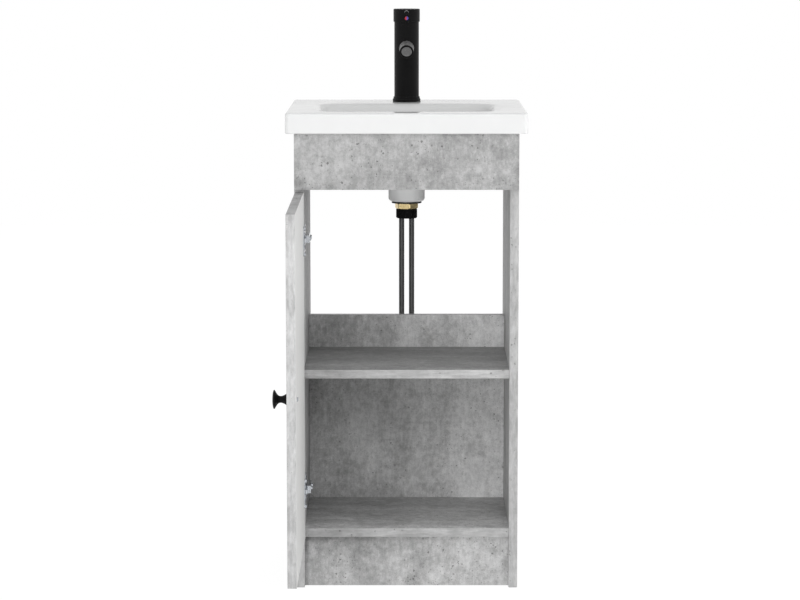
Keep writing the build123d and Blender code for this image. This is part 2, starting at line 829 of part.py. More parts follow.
def tap_body():
    """The tap's column with its tapered spout, cartridge bore and foot bores."""
    column = rod_z(tap_radius, 0, tap_y, tap_bottom_z, tap_top_z)
    length = spout_reach + 12
    align = (Align.CENTER, Align.CENTER, Align.MIN)
    spout = spout_plane().location * Cone(spout_root_radius, spout_tip_radius, length, align=align)
    beyond = spout_face().location * Box(60, 60, 40, align=align)
    spout -= beyond
    rim = spout.faces().sort_by(Axis.Y)[0].edges()
    spout = chamfer(rim, spout_rim_chamfer)
    body = column + spout
    bore_top = tap_top_z
    floor = basin_top + cartridge_floor
    body -= rod_z(cartridge_radius + hole_clearance, 0, tap_y, floor, bore_top + 1)
    nut_low = floor + cartridge_height
    body -= rod_z(nut_radius + hole_clearance, 0, tap_y, nut_low, bore_top + 1)
    channel = Pos(0, 0, cartridge_radius - 3) * Cylinder(spout_bore_radius, spout_reach - cartridge_radius, align=align)
    body -= spout_plane().location * channel
    socket = Cylinder(aerator_radius + hole_clearance, aerator_length, align=(Align.CENTER, Align.CENTER, Align.MAX))
    body -= spout_face().location * socket
    for x, y, radius, height in tap_bore_places():
        body -= rod_z(radius, x, y, tap_bottom_z - 1, basin_top + height)
    return body


def tap_base_ring():
    """The stepped ring round the tap's foot."""
    ring = rod_z(ring_radius, 0, tap_y, basin_top, basin_top + ring_step_height)
    ring += rod_z(ring_step_radius, 0, tap_y, basin_top, basin_top + ring_height)
    ring = chamfer(ring.edges().filter_by(GeomType.CIRCLE).sort_by(Axis.Z)[-1], 0.5)
    return ring - rod_z(tap_radius + hole_clearance, 0, tap_y, basin_top - 1, basin_top + 20)


def tap_gasket():
    """The seal between the tap and the deck."""
    gasket = rod_z(gasket_radius, 0, tap_y, basin_top, tap_bottom_z)
    return gasket - rod_z(gasket_inner_radius, 0, tap_y, basin_top - 1, tap_bottom_z + 1)


def aerator():
    """The round outlet insert, with a recessed face."""
    align = (Align.CENTER, Align.CENTER, Align.MAX)
    insert = Cylinder(aerator_radius, aerator_length - 0.5, align=align)
    insert -= Cylinder(aerator_radius - 1.8, 1.2, align=align)
    insert += Pos(0, 0, -0.2) * Cylinder(aerator_radius - 4.5, 1.2, align=align)
    return spout_face().location * insert


def cartridge_housing():
    """The fixed ceramic-disc housing, with the bore that the carrier turns in."""
    low = basin_top + cartridge_floor
    top = low + cartridge_height
    seat = lift_pivot_z - 14.7
    housing = rod_z(cartridge_radius, 0, tap_y, low, top)
    housing -= rod_z(carrier_radius + pin_clearance, 0, tap_y, seat, top + 1)
    for x in (-7, 7):
        housing -= rod_z(3.2, x, tap_y, low - 1, low + 6)
    return housing - rod_y(spout_bore_radius, 0, tap_y - 30, tap_y, basin_top + spout_height)


def cartridge_nut():
    """The ring nut that holds the housing down."""
    low = basin_top + cartridge_floor + cartridge_height
    nut = rod_z(nut_radius, 0, tap_y, low, low + nut_height)
    nut -= rod_z(nut_inner_radius, 0, tap_y, low - 1, low + 20)
    for turn in (0, 90):
        slot = Pos(0, tap_y, low + nut_height) * Rot(0, 0, turn) * Box(2 * nut_radius + 4, 3, 3)
        nut -= slot
    return nut


def cartridge_carrier():
    """The turning part of the cartridge, slotted for the stem."""
    low = lift_pivot_z - 14.5
    carrier = rod_z(carrier_radius, 0, tap_y, low, low + carrier_height)
    half = stem_size / 2 + 0.15
    carrier -= block(-half, half, tap_y - 6.4, tap_y + 9.2, lift_pivot_z - 6.7, low + carrier_height + 1)
    return carrier - rod_x(cross_pin_radius + pin_clearance, -20, 20, tap_y, lift_pivot_z)


def cross_pin():
    """The pin that the stem tilts on."""
    half = cross_pin_length / 2
    return rod_x(cross_pin_radius, -half, half, tap_y, lift_pivot_z)


def handle_stem():
    """The square stem between the pin and the cap."""
    half = stem_size / 2
    stem = block(-half, half, tap_y - half, tap_y + half, lift_pivot_z - 4.7, cap_top_z - cap_top)
    return stem - rod_x(cross_pin_radius + press_clearance, -20, 20, tap_y, lift_pivot_z)


def tap_cap():
    """The hollow cap with its stem socket and lever boss."""
    ceiling = cap_top_z - cap_top
    inner = cap_radius - cap_wall
    cap = rod_z(cap_radius, 0, tap_y, cap_bottom_z, cap_top_z)
    cap = chamfer(cap.edges().filter_by(GeomType.CIRCLE).sort_by(Axis.Z)[-1], cap_chamfer)
    cap -= rod_z(inner, 0, tap_y, cap_bottom_z - 1, ceiling)
    socket = rod_z(cap_boss_radius, 0, tap_y, ceiling - cap_boss_length, ceiling + 1)
    lever_z = cap_top_z - lever_below_top
    lever_end = tap_y - inner + lever_stud_length
    seat_y = tap_y - inner + lever_seat
    boss = block(-6, 6, tap_y - inner - 0.4, lever_end + 1, lever_z - 4.5, ceiling + 1)
    cap += socket + boss
    half = stem_size / 2 + 0.05
    cap -= block(-half, half, tap_y - half, tap_y + half, cap_bottom_z - 5, ceiling)
    cap -= rod_y(lever_radius + 0.05, 0, tap_y - cap_radius - 1, seat_y, lever_z)
    cap -= rod_y(lever_stud_radius + 0.05, 0, seat_y - 1, lever_end + 0.3, lever_z)
    mark_z = cap_bottom_z + mark_above_cap_edge
    cap -= rod_y(mark_radius + 0.05, 0, tap_y - cap_radius - 1, tap_y - inner + 3, mark_z)
    return cap - rod_y(grub_radius + 0.05, 0, tap_y - cap_boss_radius - 1, tap_y, mark_z)


def lever_rod():
    """The round lever screwed into the cap."""
    z = cap_top_z - lever_below_top
    inner_y = tap_y - cap_radius + cap_wall
    seat_y = inner_y + lever_seat
    tip = tap_y - cap_radius - lever_length
    rod = rod_y(lever_radius, 0, tip, seat_y, z)
    rod = chamfer(rod.edges().sort_by(Axis.Y)[0], 0.8)
    return rod + rod_y(lever_stud_radius, 0, seat_y - 1, inner_y + lever_stud_length, z)


def temperature_mark(side):
    """Half of the round mark under the lever."""
    z = cap_bottom_z + mark_above_cap_edge
    disc = rod_y(mark_radius, 0, tap_y - cap_radius - 0.15, tap_y - cap_radius + cap_wall, z)
    far = side * 10
    near = side * 0.02
    return disc & block(min(near, far), max(near, far), tap_y - 40, tap_y, z - 10, z + 10)


def grub_screw():
    """The grub screw behind the mark, which grips the stem."""
    z = cap_bottom_z + mark_above_cap_edge
    front = tap_y - cap_boss_radius + 0.2
    screw = rod_y(grub_radius, 0, front, tap_y - stem_size / 2, z)
    socket = Pos(0, front, z) * Rot(90, 0, 0) * extrude(RegularPolygon(1.2, 6), 1.4, both=True)
    return screw - socket


def fixing_stud():
    """The threaded stud from the tap's foot through the deck."""
    y = tap_y + stud_from_axis
    return rod_z(stud_radius, 0, y, deck_under_z - stud_below_deck + deck_thickness, basin_top + stud_above_deck)


def horseshoe(top, thickness):
    """An open washer round the stud, clear of the hoses."""
    washer = rod_z(horseshoe_radius, 0, tap_y, top - thickness, top)
    half = horseshoe_slot / 2
    washer -= block(-half, half, tap_y - 40, tap_y + horseshoe_front, top - thickness - 1, top + 1)
    return washer - rod_z(stud_radius + hole_clearance, 0, tap_y + stud_from_axis, top - 20, top + 1)


def fixing_nut():
    """The nut under the steel washer."""
    top = deck_under_z - rubber_horseshoe_thickness - steel_horseshoe_thickness
    y = tap_y + stud_from_axis
    nut = hex_z(fixing_nut_flats, 0, y, top - fixing_nut_height, top)
    return nut - rod_z(stud_radius + 0.05, 0, y, top - 20, top + 1)


def hose_levels(drop):
    """Heights of a hose's top and bottom ends."""
    top = basin_top - shank_hex_below_deck - shank_hex_height - drop
    return top, top - hose_length


def hose(side, drop):
    """A flexible hose, hanging straight down."""
    top, low = hose_levels(drop)
    x = side * hose_spacing / 2
    return rod_z(hose_radius, x, tap_y, low, top) - rod_z(hose_bore_radius, x, tap_y, low - 1, top + 1)


def hose_shank(side, drop):
    """The threaded shank at a hose's upper end, with its barb."""
    top, low = hose_levels(drop)
    x = side * hose_spacing / 2
    shank = hex_z(shank_hex_flats, x, tap_y, top, top + shank_hex_height)
    shank += rod_z(shank_radius, x, tap_y, top + shank_hex_height, basin_top + shank_above_deck)
    return shank + rod_z(hose_bore_radius - 0.05, x, tap_y, top - barb_length, top)


def hose_tail(side, drop):
    """The tail at a hose's lower end, with the collar inside its nut."""
    top, low = hose_levels(drop)
    x = side * hose_spacing / 2
    collar_low = low - end_tail_length + end_nut_bore_depth + end_collar_play
    tail = rod_z(hose_radius, x, tap_y, collar_low, low)
    tail += rod_z(end_nut_bore_radius, x, tap_y, collar_low, collar_low + end_collar_thickness)
    return tail + rod_z(hose_bore_radius - 0.05, x, tap_y, low, low + barb_length)


def hose_ferrule(side, low):
    """A crimped sleeve over a hose's end."""
    x = side * hose_spacing / 2
    sleeve = rod_z(ferrule_radius, x, tap_y, low, low + ferrule_length)
    return sleeve - rod_z(hose_radius + 0.05, x, tap_y, low - 1, low + ferrule_length + 1)


def hose_nut(side, drop):
    """The swivel nut at a hose's lower end."""
    top, low = hose_levels(drop)
    x = side * hose_spacing / 2
    nut_low = low - end_tail_length
    nut = hex_z(end_nut_flats, x, tap_y, nut_low, nut_low + end_nut_height)
    nut -= rod_z(end_nut_bore_radius, x, tap_y, nut_low - 1, nut_low + end_nut_bore_depth)
    groove_low = nut_low + end_nut_bore_depth
    groove_top = groove_low + end_collar_thickness + 2 * end_collar_play
    nut -= rod_z(end_nut_bore_radius + end_collar_play, x, tap_y, groove_low, groove_top)
    return nut - rod_z(hose_radius + 0.15, x, tap_y, nut_low, nut_low + end_nut_height + 1)


def save_carcass():
    """Write the boards, each with its own dowels."""
    save("left_side_panel", left_side_panel())
    save("right_side_panel", side_panel(1))
    save("fascia_panel", fascia_panel())
    save("front_top_rail", front_top_rail())
    save("rear_top_rail", rear_top_rail())
    save("middle_shelf", shelf("middle_shelf", middle_shelf_top))
    save("bottom_shelf", shelf("bottom_shelf", bottom_shelf_top))
    save("plinth_board", plinth_board())
    save("back_panel", back_panel())


def save_door():
    """Write the door, its knob and its hinges."""
    save("door_panel", door_panel())
    save("door_knob", door_knob())
    save("knob_screw", knob_screw())
    for name, height in zip(("lower", "upper"), hinge_heights):
        save(f"{name}_hinge_cup", hinge_cup(height))
        save(f"{name}_hinge_arm", hinge_arm(height))
        save(f"{name}_mounting_plate", mounting_plate(height))
    save("hinge_pins", *[hinge_pin(height) for height in hinge_heights])


def save_basin():
    """Write the basin and its waste."""
    save("ceramic_basin", ceramic_basin())
    save("overflow_ring", overflow_ring())
    save("waste_body", waste_body())
    save("waste_seal", waste_seal())
    save("waste_washer", waste_washer())
    save("waste_backnut", waste_backnut())
    save("waste_collar", waste_collar())
    save("plug_cap", plug_cap())
    save("plug_spindle", plug_spindle())


def save_tap():
    """Write the tap, its cartridge and its handle."""
    save("tap_body", tap_body())
    save("tap_base_ring", tap_base_ring())
    save("tap_gasket", tap_gasket())
    save("aerator", aerator())
    save("cartridge_housing", cartridge_housing())
    save("cartridge_nut", cartridge_nut())
    save("cartridge_carrier", cartridge_carrier())
    save("cross_pin", cross_pin())
    save("handle_stem", handle_stem())
    save("tap_cap", tap_cap())
    save("lever_rod", lever_rod())
    save("hot_mark", temperature_mark(-1))
    save("cold_mark", temperature_mark(1))
    save("grub_screw", grub_screw())


def save_fixing_and_hoses():
    """Write what lies under the deck."""
    save("fixing_stud", fixing_stud())
    save("rubber_horseshoe", horseshoe(deck_under_z, rubber_horseshoe_thickness))
    steel_top = deck_under_z - rubber_horseshoe_thickness
    save("steel_horseshoe", horseshoe(steel_top, steel_horseshoe_thickness))
    save("fixing_nut", fixing_nut())
    save("hose_shanks", *[hose_shank(side, drop) for name, side, drop in hose_sides])
    save("hose_tails", *[hose_tail(side, drop) for name, side, drop in hose_sides])
    save("hose_nuts", *[hose_nut(side, drop) for name, side, drop in hose_sides])
    ferrules = []
    for name, side, drop in hose_sides:
        top, low = hose_levels(drop)
        ferrules.append(hose_ferrule(side, top - ferrule_length))
        ferrules.append(hose_ferrule(side, low))
        save(f"{name}_hose", hose(side, drop))
    save("hose_ferrules", *ferrules)


def main():
    """Write every node of the vanity unit."""
    os.makedirs("parts", exist_ok=True)
    save_carcass()
    save_door()
    save_basin()
    save_tap()
    save_fixing_and_hoses()


main()
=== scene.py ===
"""Looks of a narrow vanity unit: boards, door, basin, waste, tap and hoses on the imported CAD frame."""

import logging
import math
from dataclasses import dataclass
from enum import Enum
from typing import Iterable, Sequence, Union

import bmesh
import bpy
from mathutils import Matrix, Vector


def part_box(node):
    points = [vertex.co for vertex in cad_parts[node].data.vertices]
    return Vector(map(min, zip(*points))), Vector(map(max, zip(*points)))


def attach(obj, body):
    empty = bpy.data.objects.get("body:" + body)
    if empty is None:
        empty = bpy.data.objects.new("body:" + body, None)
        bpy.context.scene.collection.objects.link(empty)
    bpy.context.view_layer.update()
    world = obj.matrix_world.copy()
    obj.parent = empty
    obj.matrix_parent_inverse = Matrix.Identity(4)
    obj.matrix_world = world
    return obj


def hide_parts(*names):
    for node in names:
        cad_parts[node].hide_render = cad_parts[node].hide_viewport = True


LOG = logging.getLogger("vanity")
CABINET = "cabinet"
DOOR = "door"
CARRIER = "mixer_carrier"
HANDLE = "mixer_handle"
PLUG = "waste_plug"

BOARD_THICKNESS = 0.015
INNER_HALF = 0.176
DOWELLED = ("front_top_rail", "rear_top_rail", "middle_shelf", "bottom_shelf", "plinth_board", "back_panel")
MIX_LOW, MIX_HIGH, MIX_RESULT = 6, 7, 2
HEX_HALF_ANGLE = math.radians(30.0)
WAVE_LOW, WAVE_HIGH = 0.36, 0.64

Point = tuple[float, float, float]
Outline = list[tuple[float, float]]
Socket = bpy.types.NodeSocket
Tree = bpy.types.NodeTree
Material = bpy.types.Material
Piece = bpy.types.Object
Mesh = bmesh.types.BMesh
Plug = Union[Socket, float, Sequence[float]]


class Streaks(Enum):
    """Which way the trowel streaks of a board run."""

    UPRIGHT = (1.0, 1.0, 0.24)
    LEVEL = (0.16, 1.0, 1.0)


# ---------------------------------------------------------------- node wiring


class Wiring:
    """Adds nodes to one node tree and joins their sockets."""

    def __init__(self, tree: Tree) -> None:
        """Keep the tree to work on."""
        self.tree = tree

    def node(self, kind: str, **settings: object) -> bpy.types.Node:
        """Add a node.

        Args:
            kind: Blender's type name of the node.
            settings: Properties of the node.

        Returns:
            The new node.
        """
        made = self.tree.nodes.new(kind)
        for key, value in settings.items():
            setattr(made, key, value)
        return made

    def feed(self, target: Socket, source: Plug) -> None:
        """Join a socket to another, or give it a plain value.

        Args:
            target: The input to fill.
            source: An output, or the value.
        """
        if isinstance(source, Socket):
            self.tree.links.new(source, target)
        else:
            target.default_value = source

    def math(self, work: str, first: Plug, second: Plug = 0.0, clamp: bool = False) -> Socket:
        """Combine two numbers.

        Args:
            work: Name of the operation.
            first: Its first number.
            second: Its second number.
            clamp: Whether the result is kept between 0 and 1.

        Returns:
            The result's socket.
        """
        made = self.node("ShaderNodeMath", operation=work, use_clamp=clamp)
        self.feed(made.inputs[0], first)
        self.feed(made.inputs[1], second)
        return made.outputs[0]

    def times(self, first: Plug, second: Plug) -> Socket:
        """The product of two numbers."""
        return self.math("MULTIPLY", first, second)

    def plus(self, first: Plug, second: Plug) -> Socket:
        """The sum of two numbers."""
        return self.math("ADD", first, second)

    def span(self, value: Plug, low: float, high: float, start: float = 0.0, end: float = 1.0) -> Socket:
        """Stretch a number from one range to another, and keep it there.

        Args:
            value: The number.
            low: Start of its range.
            high: End of its range.
            start: Start of the new range.
            end: End of the new range.

        Returns:
            The result's socket.
        """
        made = self.node("ShaderNodeMapRange", clamp=True)
        names = ("Value", "From Min", "From Max", "To Min", "To Max")
        for name, part in zip(names, (value, low, high, start, end)):
            self.feed(made.inputs[name], part)
        return made.outputs["Result"]

    def noise(self, vector: Plug, scale: Plug, detail: float = 3.0, rough: float = 0.5) -> Socket:
        """Cloudy noise.

        Args:
            vector: The coordinates.
            scale: Waves per metre.
            detail: Steps of finer noise on top.
            rough: Strength of each finer step.

        Returns:
            The noise's socket.
        """
        made = self.node("ShaderNodeTexNoise")
        self.feed(made.inputs["Vector"], vector)
        self.feed(made.inputs["Scale"], scale)
        made.inputs["Detail"].default_value = detail
        made.inputs["Roughness"].default_value = rough
        return made.outputs["Fac"]

    def blend(self, mask: Plug, low: Plug, high: Plug) -> Socket:
        """Mix two colours.

        Args:
            mask: 0 for the low colour, 1 for the high one.
            low: The first colour.
            high: The second colour.

        Returns:
            The mixed colour's socket.
        """
        made = self.node("ShaderNodeMix", data_type="RGBA", blend_type="MIX")
        self.feed(made.inputs["Factor"], mask)
        self.feed(made.inputs[MIX_LOW], low)
        self.feed(made.inputs[MIX_HIGH], high)
        return made.outputs[MIX_RESULT]

    def ramp(self, value: Plug, stops: Iterable[tuple[float, float]]) -> Socket:
        """Turn a number into a grey.

        Args:
            value: The number.
            stops: Place and brightness of each stop.

        Returns:
            The grey's socket.
        """
        made = self.node("ShaderNodeValToRGB")
        band = made.color_ramp.elements
        for index, (place, grey) in enumerate(stops):
            stop = band[index] if index < 2 else band.new(place)
            stop.position = place
            stop.color = (grey, grey, grey, 1.0)
        self.feed(made.inputs["Fac"], value)
        return made.outputs["Color"]

    def bump(self, height: Plug, strength: float, distance: float) -> Socket:
        """A bumped normal.

        Args:
            height: A height that changes over the surface.
            strength: Share of the bump that shows.
            distance: Its depth in metres.

        Returns:
            The normal's socket.
        """
        made = self.node("ShaderNodeBump")
        made.inputs["Strength"].default_value = strength
        made.inputs["Distance"].default_value = distance
        self.feed(made.inputs["Height"], height)
        return made.outputs["Normal"]

    def place(self, shift: Point = (0.0, 0.0, 0.0), scale: Point = (1.0, 1.0, 1.0)) -> Socket:
        """Object coordinates, moved and stretched.

        Args:
            shift: How far they are moved.
            scale: How much they are stretched along each axis.

        Returns:
            The coordinates' socket.
        """
        source = self.node("ShaderNodeTexCoord")
        made = self.node("ShaderNodeMapping")
        made.inputs["Location"].default_value = shift
        made.inputs["Scale"].default_value = scale
        self.feed(made.inputs["Vector"], source.outputs["Object"])
        return made.outputs["Vector"]


class Effects:
    """The shader node groups that several finishes share."""

    def __init__(self) -> None:
        """Build every group once."""
        self.clouds = self._clouds()
        self.streaks = self._streaks()
        self.pits = self._pits()
        self.grain = self._grain()
        self.wear = self._wear()
        self.rings = self._rings()
        self.braid = self._braid()

    @staticmethod
    def _group(name: str, ins: Sequence[tuple[str, str, object]], outs: Sequence[tuple[str, str]]) -> tuple:
        """Start a group.

        Args:
            name: The group's name.
            ins: Name, kind and default of each input.
            outs: Name and kind of each output.

        Returns:
            The group's wiring, its input node and its output node.
        """
        tree = bpy.data.node_groups.new(name, "ShaderNodeTree")
        for label, kind, default in ins:
            socket = tree.interface.new_socket(name=label, in_out="INPUT", socket_type=kind)
            if default is not None:
                socket.default_value = default
        for label, kind in outs:
            tree.interface.new_socket(name=label, in_out="OUTPUT", socket_type=kind)
        wiring = Wiring(tree)
        return wiring, wiring.node("NodeGroupInput").outputs, wiring.node("NodeGroupOutput").inputs

    def _clouds(self) -> Tree:
        """Broad and middling patches of light and dark.

        Returns:
            The group.
        """
        ins = [("Vector", "NodeSocketVector", None), ("Scale", "NodeSocketFloat", 7.0)]
        wiring, given, out = self._group("Stone clouds", ins, [("Tone", "NodeSocketFloat")])
        broad = wiring.noise(given["Vector"], given["Scale"], 2.0, 0.5)
        finer = wiring.noise(given["Vector"], wiring.times(given["Scale"], 4.7), 9.0, 0.72)
        tone = wiring.plus(wiring.times(broad, 0.55), wiring.times(finer, 0.45))
        wiring.feed(out["Tone"], wiring.span(tone, WAVE_LOW, WAVE_HIGH))
        return wiring.tree

    def _streaks(self) -> Tree:
        """Long faint streaks, in coordinates stretched along them.

        Returns:
            The group.
        """
        ins = [("Vector", "NodeSocketVector", None), ("Scale", "NodeSocketFloat", 60.0)]
        wiring, given, out = self._group("Trowel streaks", ins, [("Mask", "NodeSocketFloat")])
        lines = wiring.noise(given["Vector"], given["Scale"], 8.0, 0.7)
        wiring.feed(out["Mask"], wiring.span(lines, 0.36, 0.66))
        return wiring.tree

    def _pits(self) -> Tree:
        """Small dark pits, in some cells only, crowded in places.

        Returns:
            The group.
        """
        ins = [
            ("Vector", "NodeSocketVector", None),
            ("Scale", "NodeSocketFloat", 150.0),
            ("Size", "NodeSocketFloat", 0.16),
            ("Share", "NodeSocketFloat", 0.2),
        ]
        wiring, given, out = self._group("Pits", ins, [("Mask", "NodeSocketFloat")])
        cells = wiring.node("ShaderNodeTexVoronoi", feature="F1")
        bent = wiring.node("ShaderNodeVectorMath", operation="MULTIPLY_ADD")
        swirl = wiring.node("ShaderNodeTexNoise")
        wiring.feed(swirl.inputs["Vector"], given["Vector"])
        swirl.inputs["Scale"].default_value = 420.0
        wiring.feed(bent.inputs[0], swirl.outputs["Color"])
        bent.inputs[1].default_value = (0.005, 0.005, 0.005)
        wiring.feed(bent.inputs[2], given["Vector"])
        wiring.feed(cells.inputs["Vector"], bent.outputs[0])
        wiring.feed(cells.inputs["Scale"], given["Scale"])
        split = wiring.node("ShaderNodeSeparateColor")
        wiring.feed(split.inputs[0], cells.outputs["Color"])
        chosen = wiring.math("LESS_THAN", split.outputs[0], given["Share"])
        size = wiring.times(given["Size"], wiring.plus(split.outputs[1], 0.35))
        edge = wiring.math("SUBTRACT", size, cells.outputs["Distance"])
        inside = wiring.math("MULTIPLY", edge, 14.0, clamp=True)
        crowd = wiring.span(wiring.noise(given["Vector"], 17.0, 2.0), 0.4, 0.55)
        wiring.feed(out["Mask"], wiring.times(wiring.times(inside, chosen), crowd))
        return wiring.tree

    def _grain(self) -> Tree:
        """Fine even tooth of a pressed, moulded or sprayed surface.

        Returns:
            The group.
        """
        ins = [("Vector", "NodeSocketVector", None), ("Scale", "NodeSocketFloat", 900.0)]
        wiring, given, out = self._group("Fine grain", ins, [("Height", "NodeSocketFloat")])
        wiring.feed(out["Height"], wiring.noise(given["Vector"], given["Scale"], 3.0, 0.65))
        return wiring.tree

    def _wear(self) -> Tree:
        """Where an edge is rubbed: the rounded normal leaves the true one there.

        Returns:
            The group.
        """
        ins = [("Radius", "NodeSocketFloat", 0.0008), ("Break", "NodeSocketFloat", 90.0)]
        wiring, given, out = self._group("Edge wear", ins, [("Mask", "NodeSocketFloat")])
        rounded = wiring.node("ShaderNodeBevel", samples=4)
        wiring.feed(rounded.inputs["Radius"], given["Radius"])
        true = wiring.node("ShaderNodeNewGeometry")
        angle = wiring.node("ShaderNodeVectorMath", operation="DOT_PRODUCT")
        wiring.feed(angle.inputs[0], rounded.outputs["Normal"])
        wiring.feed(angle.inputs[1], true.outputs["Normal"])
        near = wiring.span(angle.outputs["Value"], 0.995, 0.86)
        source = wiring.node("ShaderNodeTexCoord")
        broken = wiring.span(wiring.noise(source.outputs["Object"], given["Break"], 4.0, 0.6), 0.42, 0.62)
        wiring.feed(out["Mask"], wiring.times(near, broken))
        return wiring.tree

    def _rings(self) -> Tree:
        """Fine tool marks round the axis of a turned piece, whose coordinates are centred on Z.

        Returns:
            The group.
        """
        ins = [("Vector", "NodeSocketVector", None), ("Pitch", "NodeSocketFloat", 0.0004)]
        wiring, given, out = self._group("Turning marks", ins, [("Height", "NodeSocketFloat")])
        split = wiring.node("ShaderNodeSeparateXYZ")
        wiring.feed(split.inputs[0], given["Vector"])
        away = wiring.times(split.outputs[0], split.outputs[0])
        away = wiring.plus(away, wiring.times(split.outputs[1], split.outputs[1]))
        place = wiring.plus(wiring.math("SQRT", away), split.outputs[2])
        turns = wiring.math("DIVIDE", place, given["Pitch"])
        wave = wiring.math("SINE", wiring.times(turns, math.tau))
        loose = wiring.noise(given["Vector"], 400.0, 2.0)
        wiring.feed(out["Height"], wiring.times(wave, loose))
        return wiring.tree

    def _braid(self) -> Tree:
        """Two sets of strands wound both ways round an upright hose centred on Z.

        Returns:
            The group.
        """
        ins = [
            ("Vector", "NodeSocketVector", None),
            ("Strands", "NodeSocketFloat", 12.0),
            ("Lay", "NodeSocketFloat", 420.0),
        ]
        outs = [("Height", "NodeSocketFloat"), ("Over", "NodeSocketFloat")]
        wiring, given, out = self._group("Hose braid", ins, outs)
        split = wiring.node("ShaderNodeSeparateXYZ")
        wiring.feed(split.inputs[0], given["Vector"])
        angle = wiring.math("ARCTAN2", split.outputs[1], split.outputs[0])
        round_part = wiring.times(angle, given["Strands"])
        along = wiring.times(split.outputs[2], given["Lay"])
        one = wiring.math("SINE", wiring.plus(round_part, along))
        two = wiring.math("SINE", wiring.math("SUBTRACT", round_part, along))
        over = wiring.math("GREATER_THAN", wiring.times(one, two), 0.0)
        height = wiring.math("MAXIMUM", wiring.math("ABSOLUTE", one), wiring.math("ABSOLUTE", two))
        wiring.feed(out["Height"], height)
        wiring.feed(out["Over"], over)
        return wiring.tree


# ------------------------------------------------------------------- finishes


class Finish:
    """A material's wiring and Principled surface, with the effects that several finishes share."""

    def __init__(self, effects: Effects, name: str, roughness: float, metallic: float = 0.0) -> None:
        """Make a material.

        Args:
            effects: The shared shader groups.
            name: The material's name.
            roughness: Roughness of the surface.
            metallic: 1 for bare metal.
        """
        self.effects = effects
        self.material = bpy.data.materials.new(name)
        self.material.use_nodes = True
        self.wiring = Wiring(self.material.node_tree)
        self.surface = self.material.node_tree.nodes["Principled BSDF"].inputs
        self.surface["Roughness"].default_value = roughness
        self.surface["Metallic"].default_value = metallic

    def effect(self, tree: Tree, **values: Plug) -> Socket:
        """Place a group and set its inputs.

        Args:
            tree: The group.
            values: Sockets or numbers by input name.

        Returns:
            The group's first output.
        """
        made = self.wiring.node("ShaderNodeGroup")
        made.node_tree = tree
        for name, value in values.items():
            self.wiring.feed(made.inputs[name], value)
        return made.outputs[0]

    def pitted(self, flat: Socket, grey: Socket, size: Point, depth: float, tint: Point) -> tuple:
        """Darken a colour in small pits.

        Args:
            flat: The coordinates.
            grey: The colour.
            size: Cells per metre, the pits' size in a cell, and the share of cells with a pit.
            depth: How far a pit takes its own colour.
            tint: That colour.

        Returns:
            The pitted colour and the pits' mask.
        """
        scale, wide, share = size
        pits = self.effect(self.effects.pits, Vector=flat, Scale=scale, Size=wide, Share=share)
        return self.wiring.blend(self.wiring.times(pits, depth), grey, (*tint, 1.0)), pits

    def rubbed(self, colour: Socket, radius: float, gaps: float, share: float, tint: Point) -> None:
        """Set the base colour, with a barer tint along the rubbed edges.

        Args:
            colour: The colour.
            radius: How far from an edge it is rubbed.
            gaps: How often the rubbing breaks off, in waves per metre.
            share: How far a rubbed edge takes the tint.
            tint: The tint.
        """
        worn = self.effect(self.effects.wear, Radius=radius, Break=gaps)
        base = self.wiring.blend(self.wiring.times(worn, share), colour, (*tint, 1.0))
        self.wiring.feed(self.surface["Base Color"], base)

    def uneven(self, mask: Socket, low: float, high: float, dull: float, rough: float) -> None:
        """Let the roughness follow a mask.

        Args:
            mask: The mask.
            low: Start of its range.
            high: End of its range.
            dull: Roughness at the start.
            rough: Roughness at the end.
        """
        self.wiring.feed(self.surface["Roughness"], self.wiring.span(mask, low, high, dull, rough))

    def raised(self, height: Socket, strength: float, distance: float) -> None:
        """Bump the surface by a height."""
        self.wiring.feed(self.surface["Normal"], self.wiring.bump(height, strength, distance))

    def toothed(self, flat: Socket, scale: float, strength: float, distance: float) -> None:
        """Bump the surface by the fine grain."""
        self.raised(self.effect(self.effects.grain, Vector=flat, Scale=scale), strength, distance)

    def mottled(self, flat: Socket, scale: float, colour: Point, low: float, high: float) -> tuple:
        """A colour that drifts between two strengths of itself.

        Args:
            flat: The coordinates.
            scale: Size of the tone changes, in waves per metre.
            colour: The middle colour.
            low: Its weakest share.
            high: Its strongest share.

        Returns:
            The cloudy mask and the colour.
        """
        tone = self.effect(self.effects.clouds, Vector=flat, Scale=scale)
        weak = tuple(part * low for part in colour)
        strong = tuple(min(1.0, part * high) for part in colour)
        return tone, self.wiring.blend(tone, (*weak, 1.0), (*strong, 1.0))

    def gloss(self, **values: float) -> None:
        """Set the surface's plain inputs by their names, with _ for a space."""
        for name, value in values.items():
            self.surface[name.replace("_", " ")].default_value = value


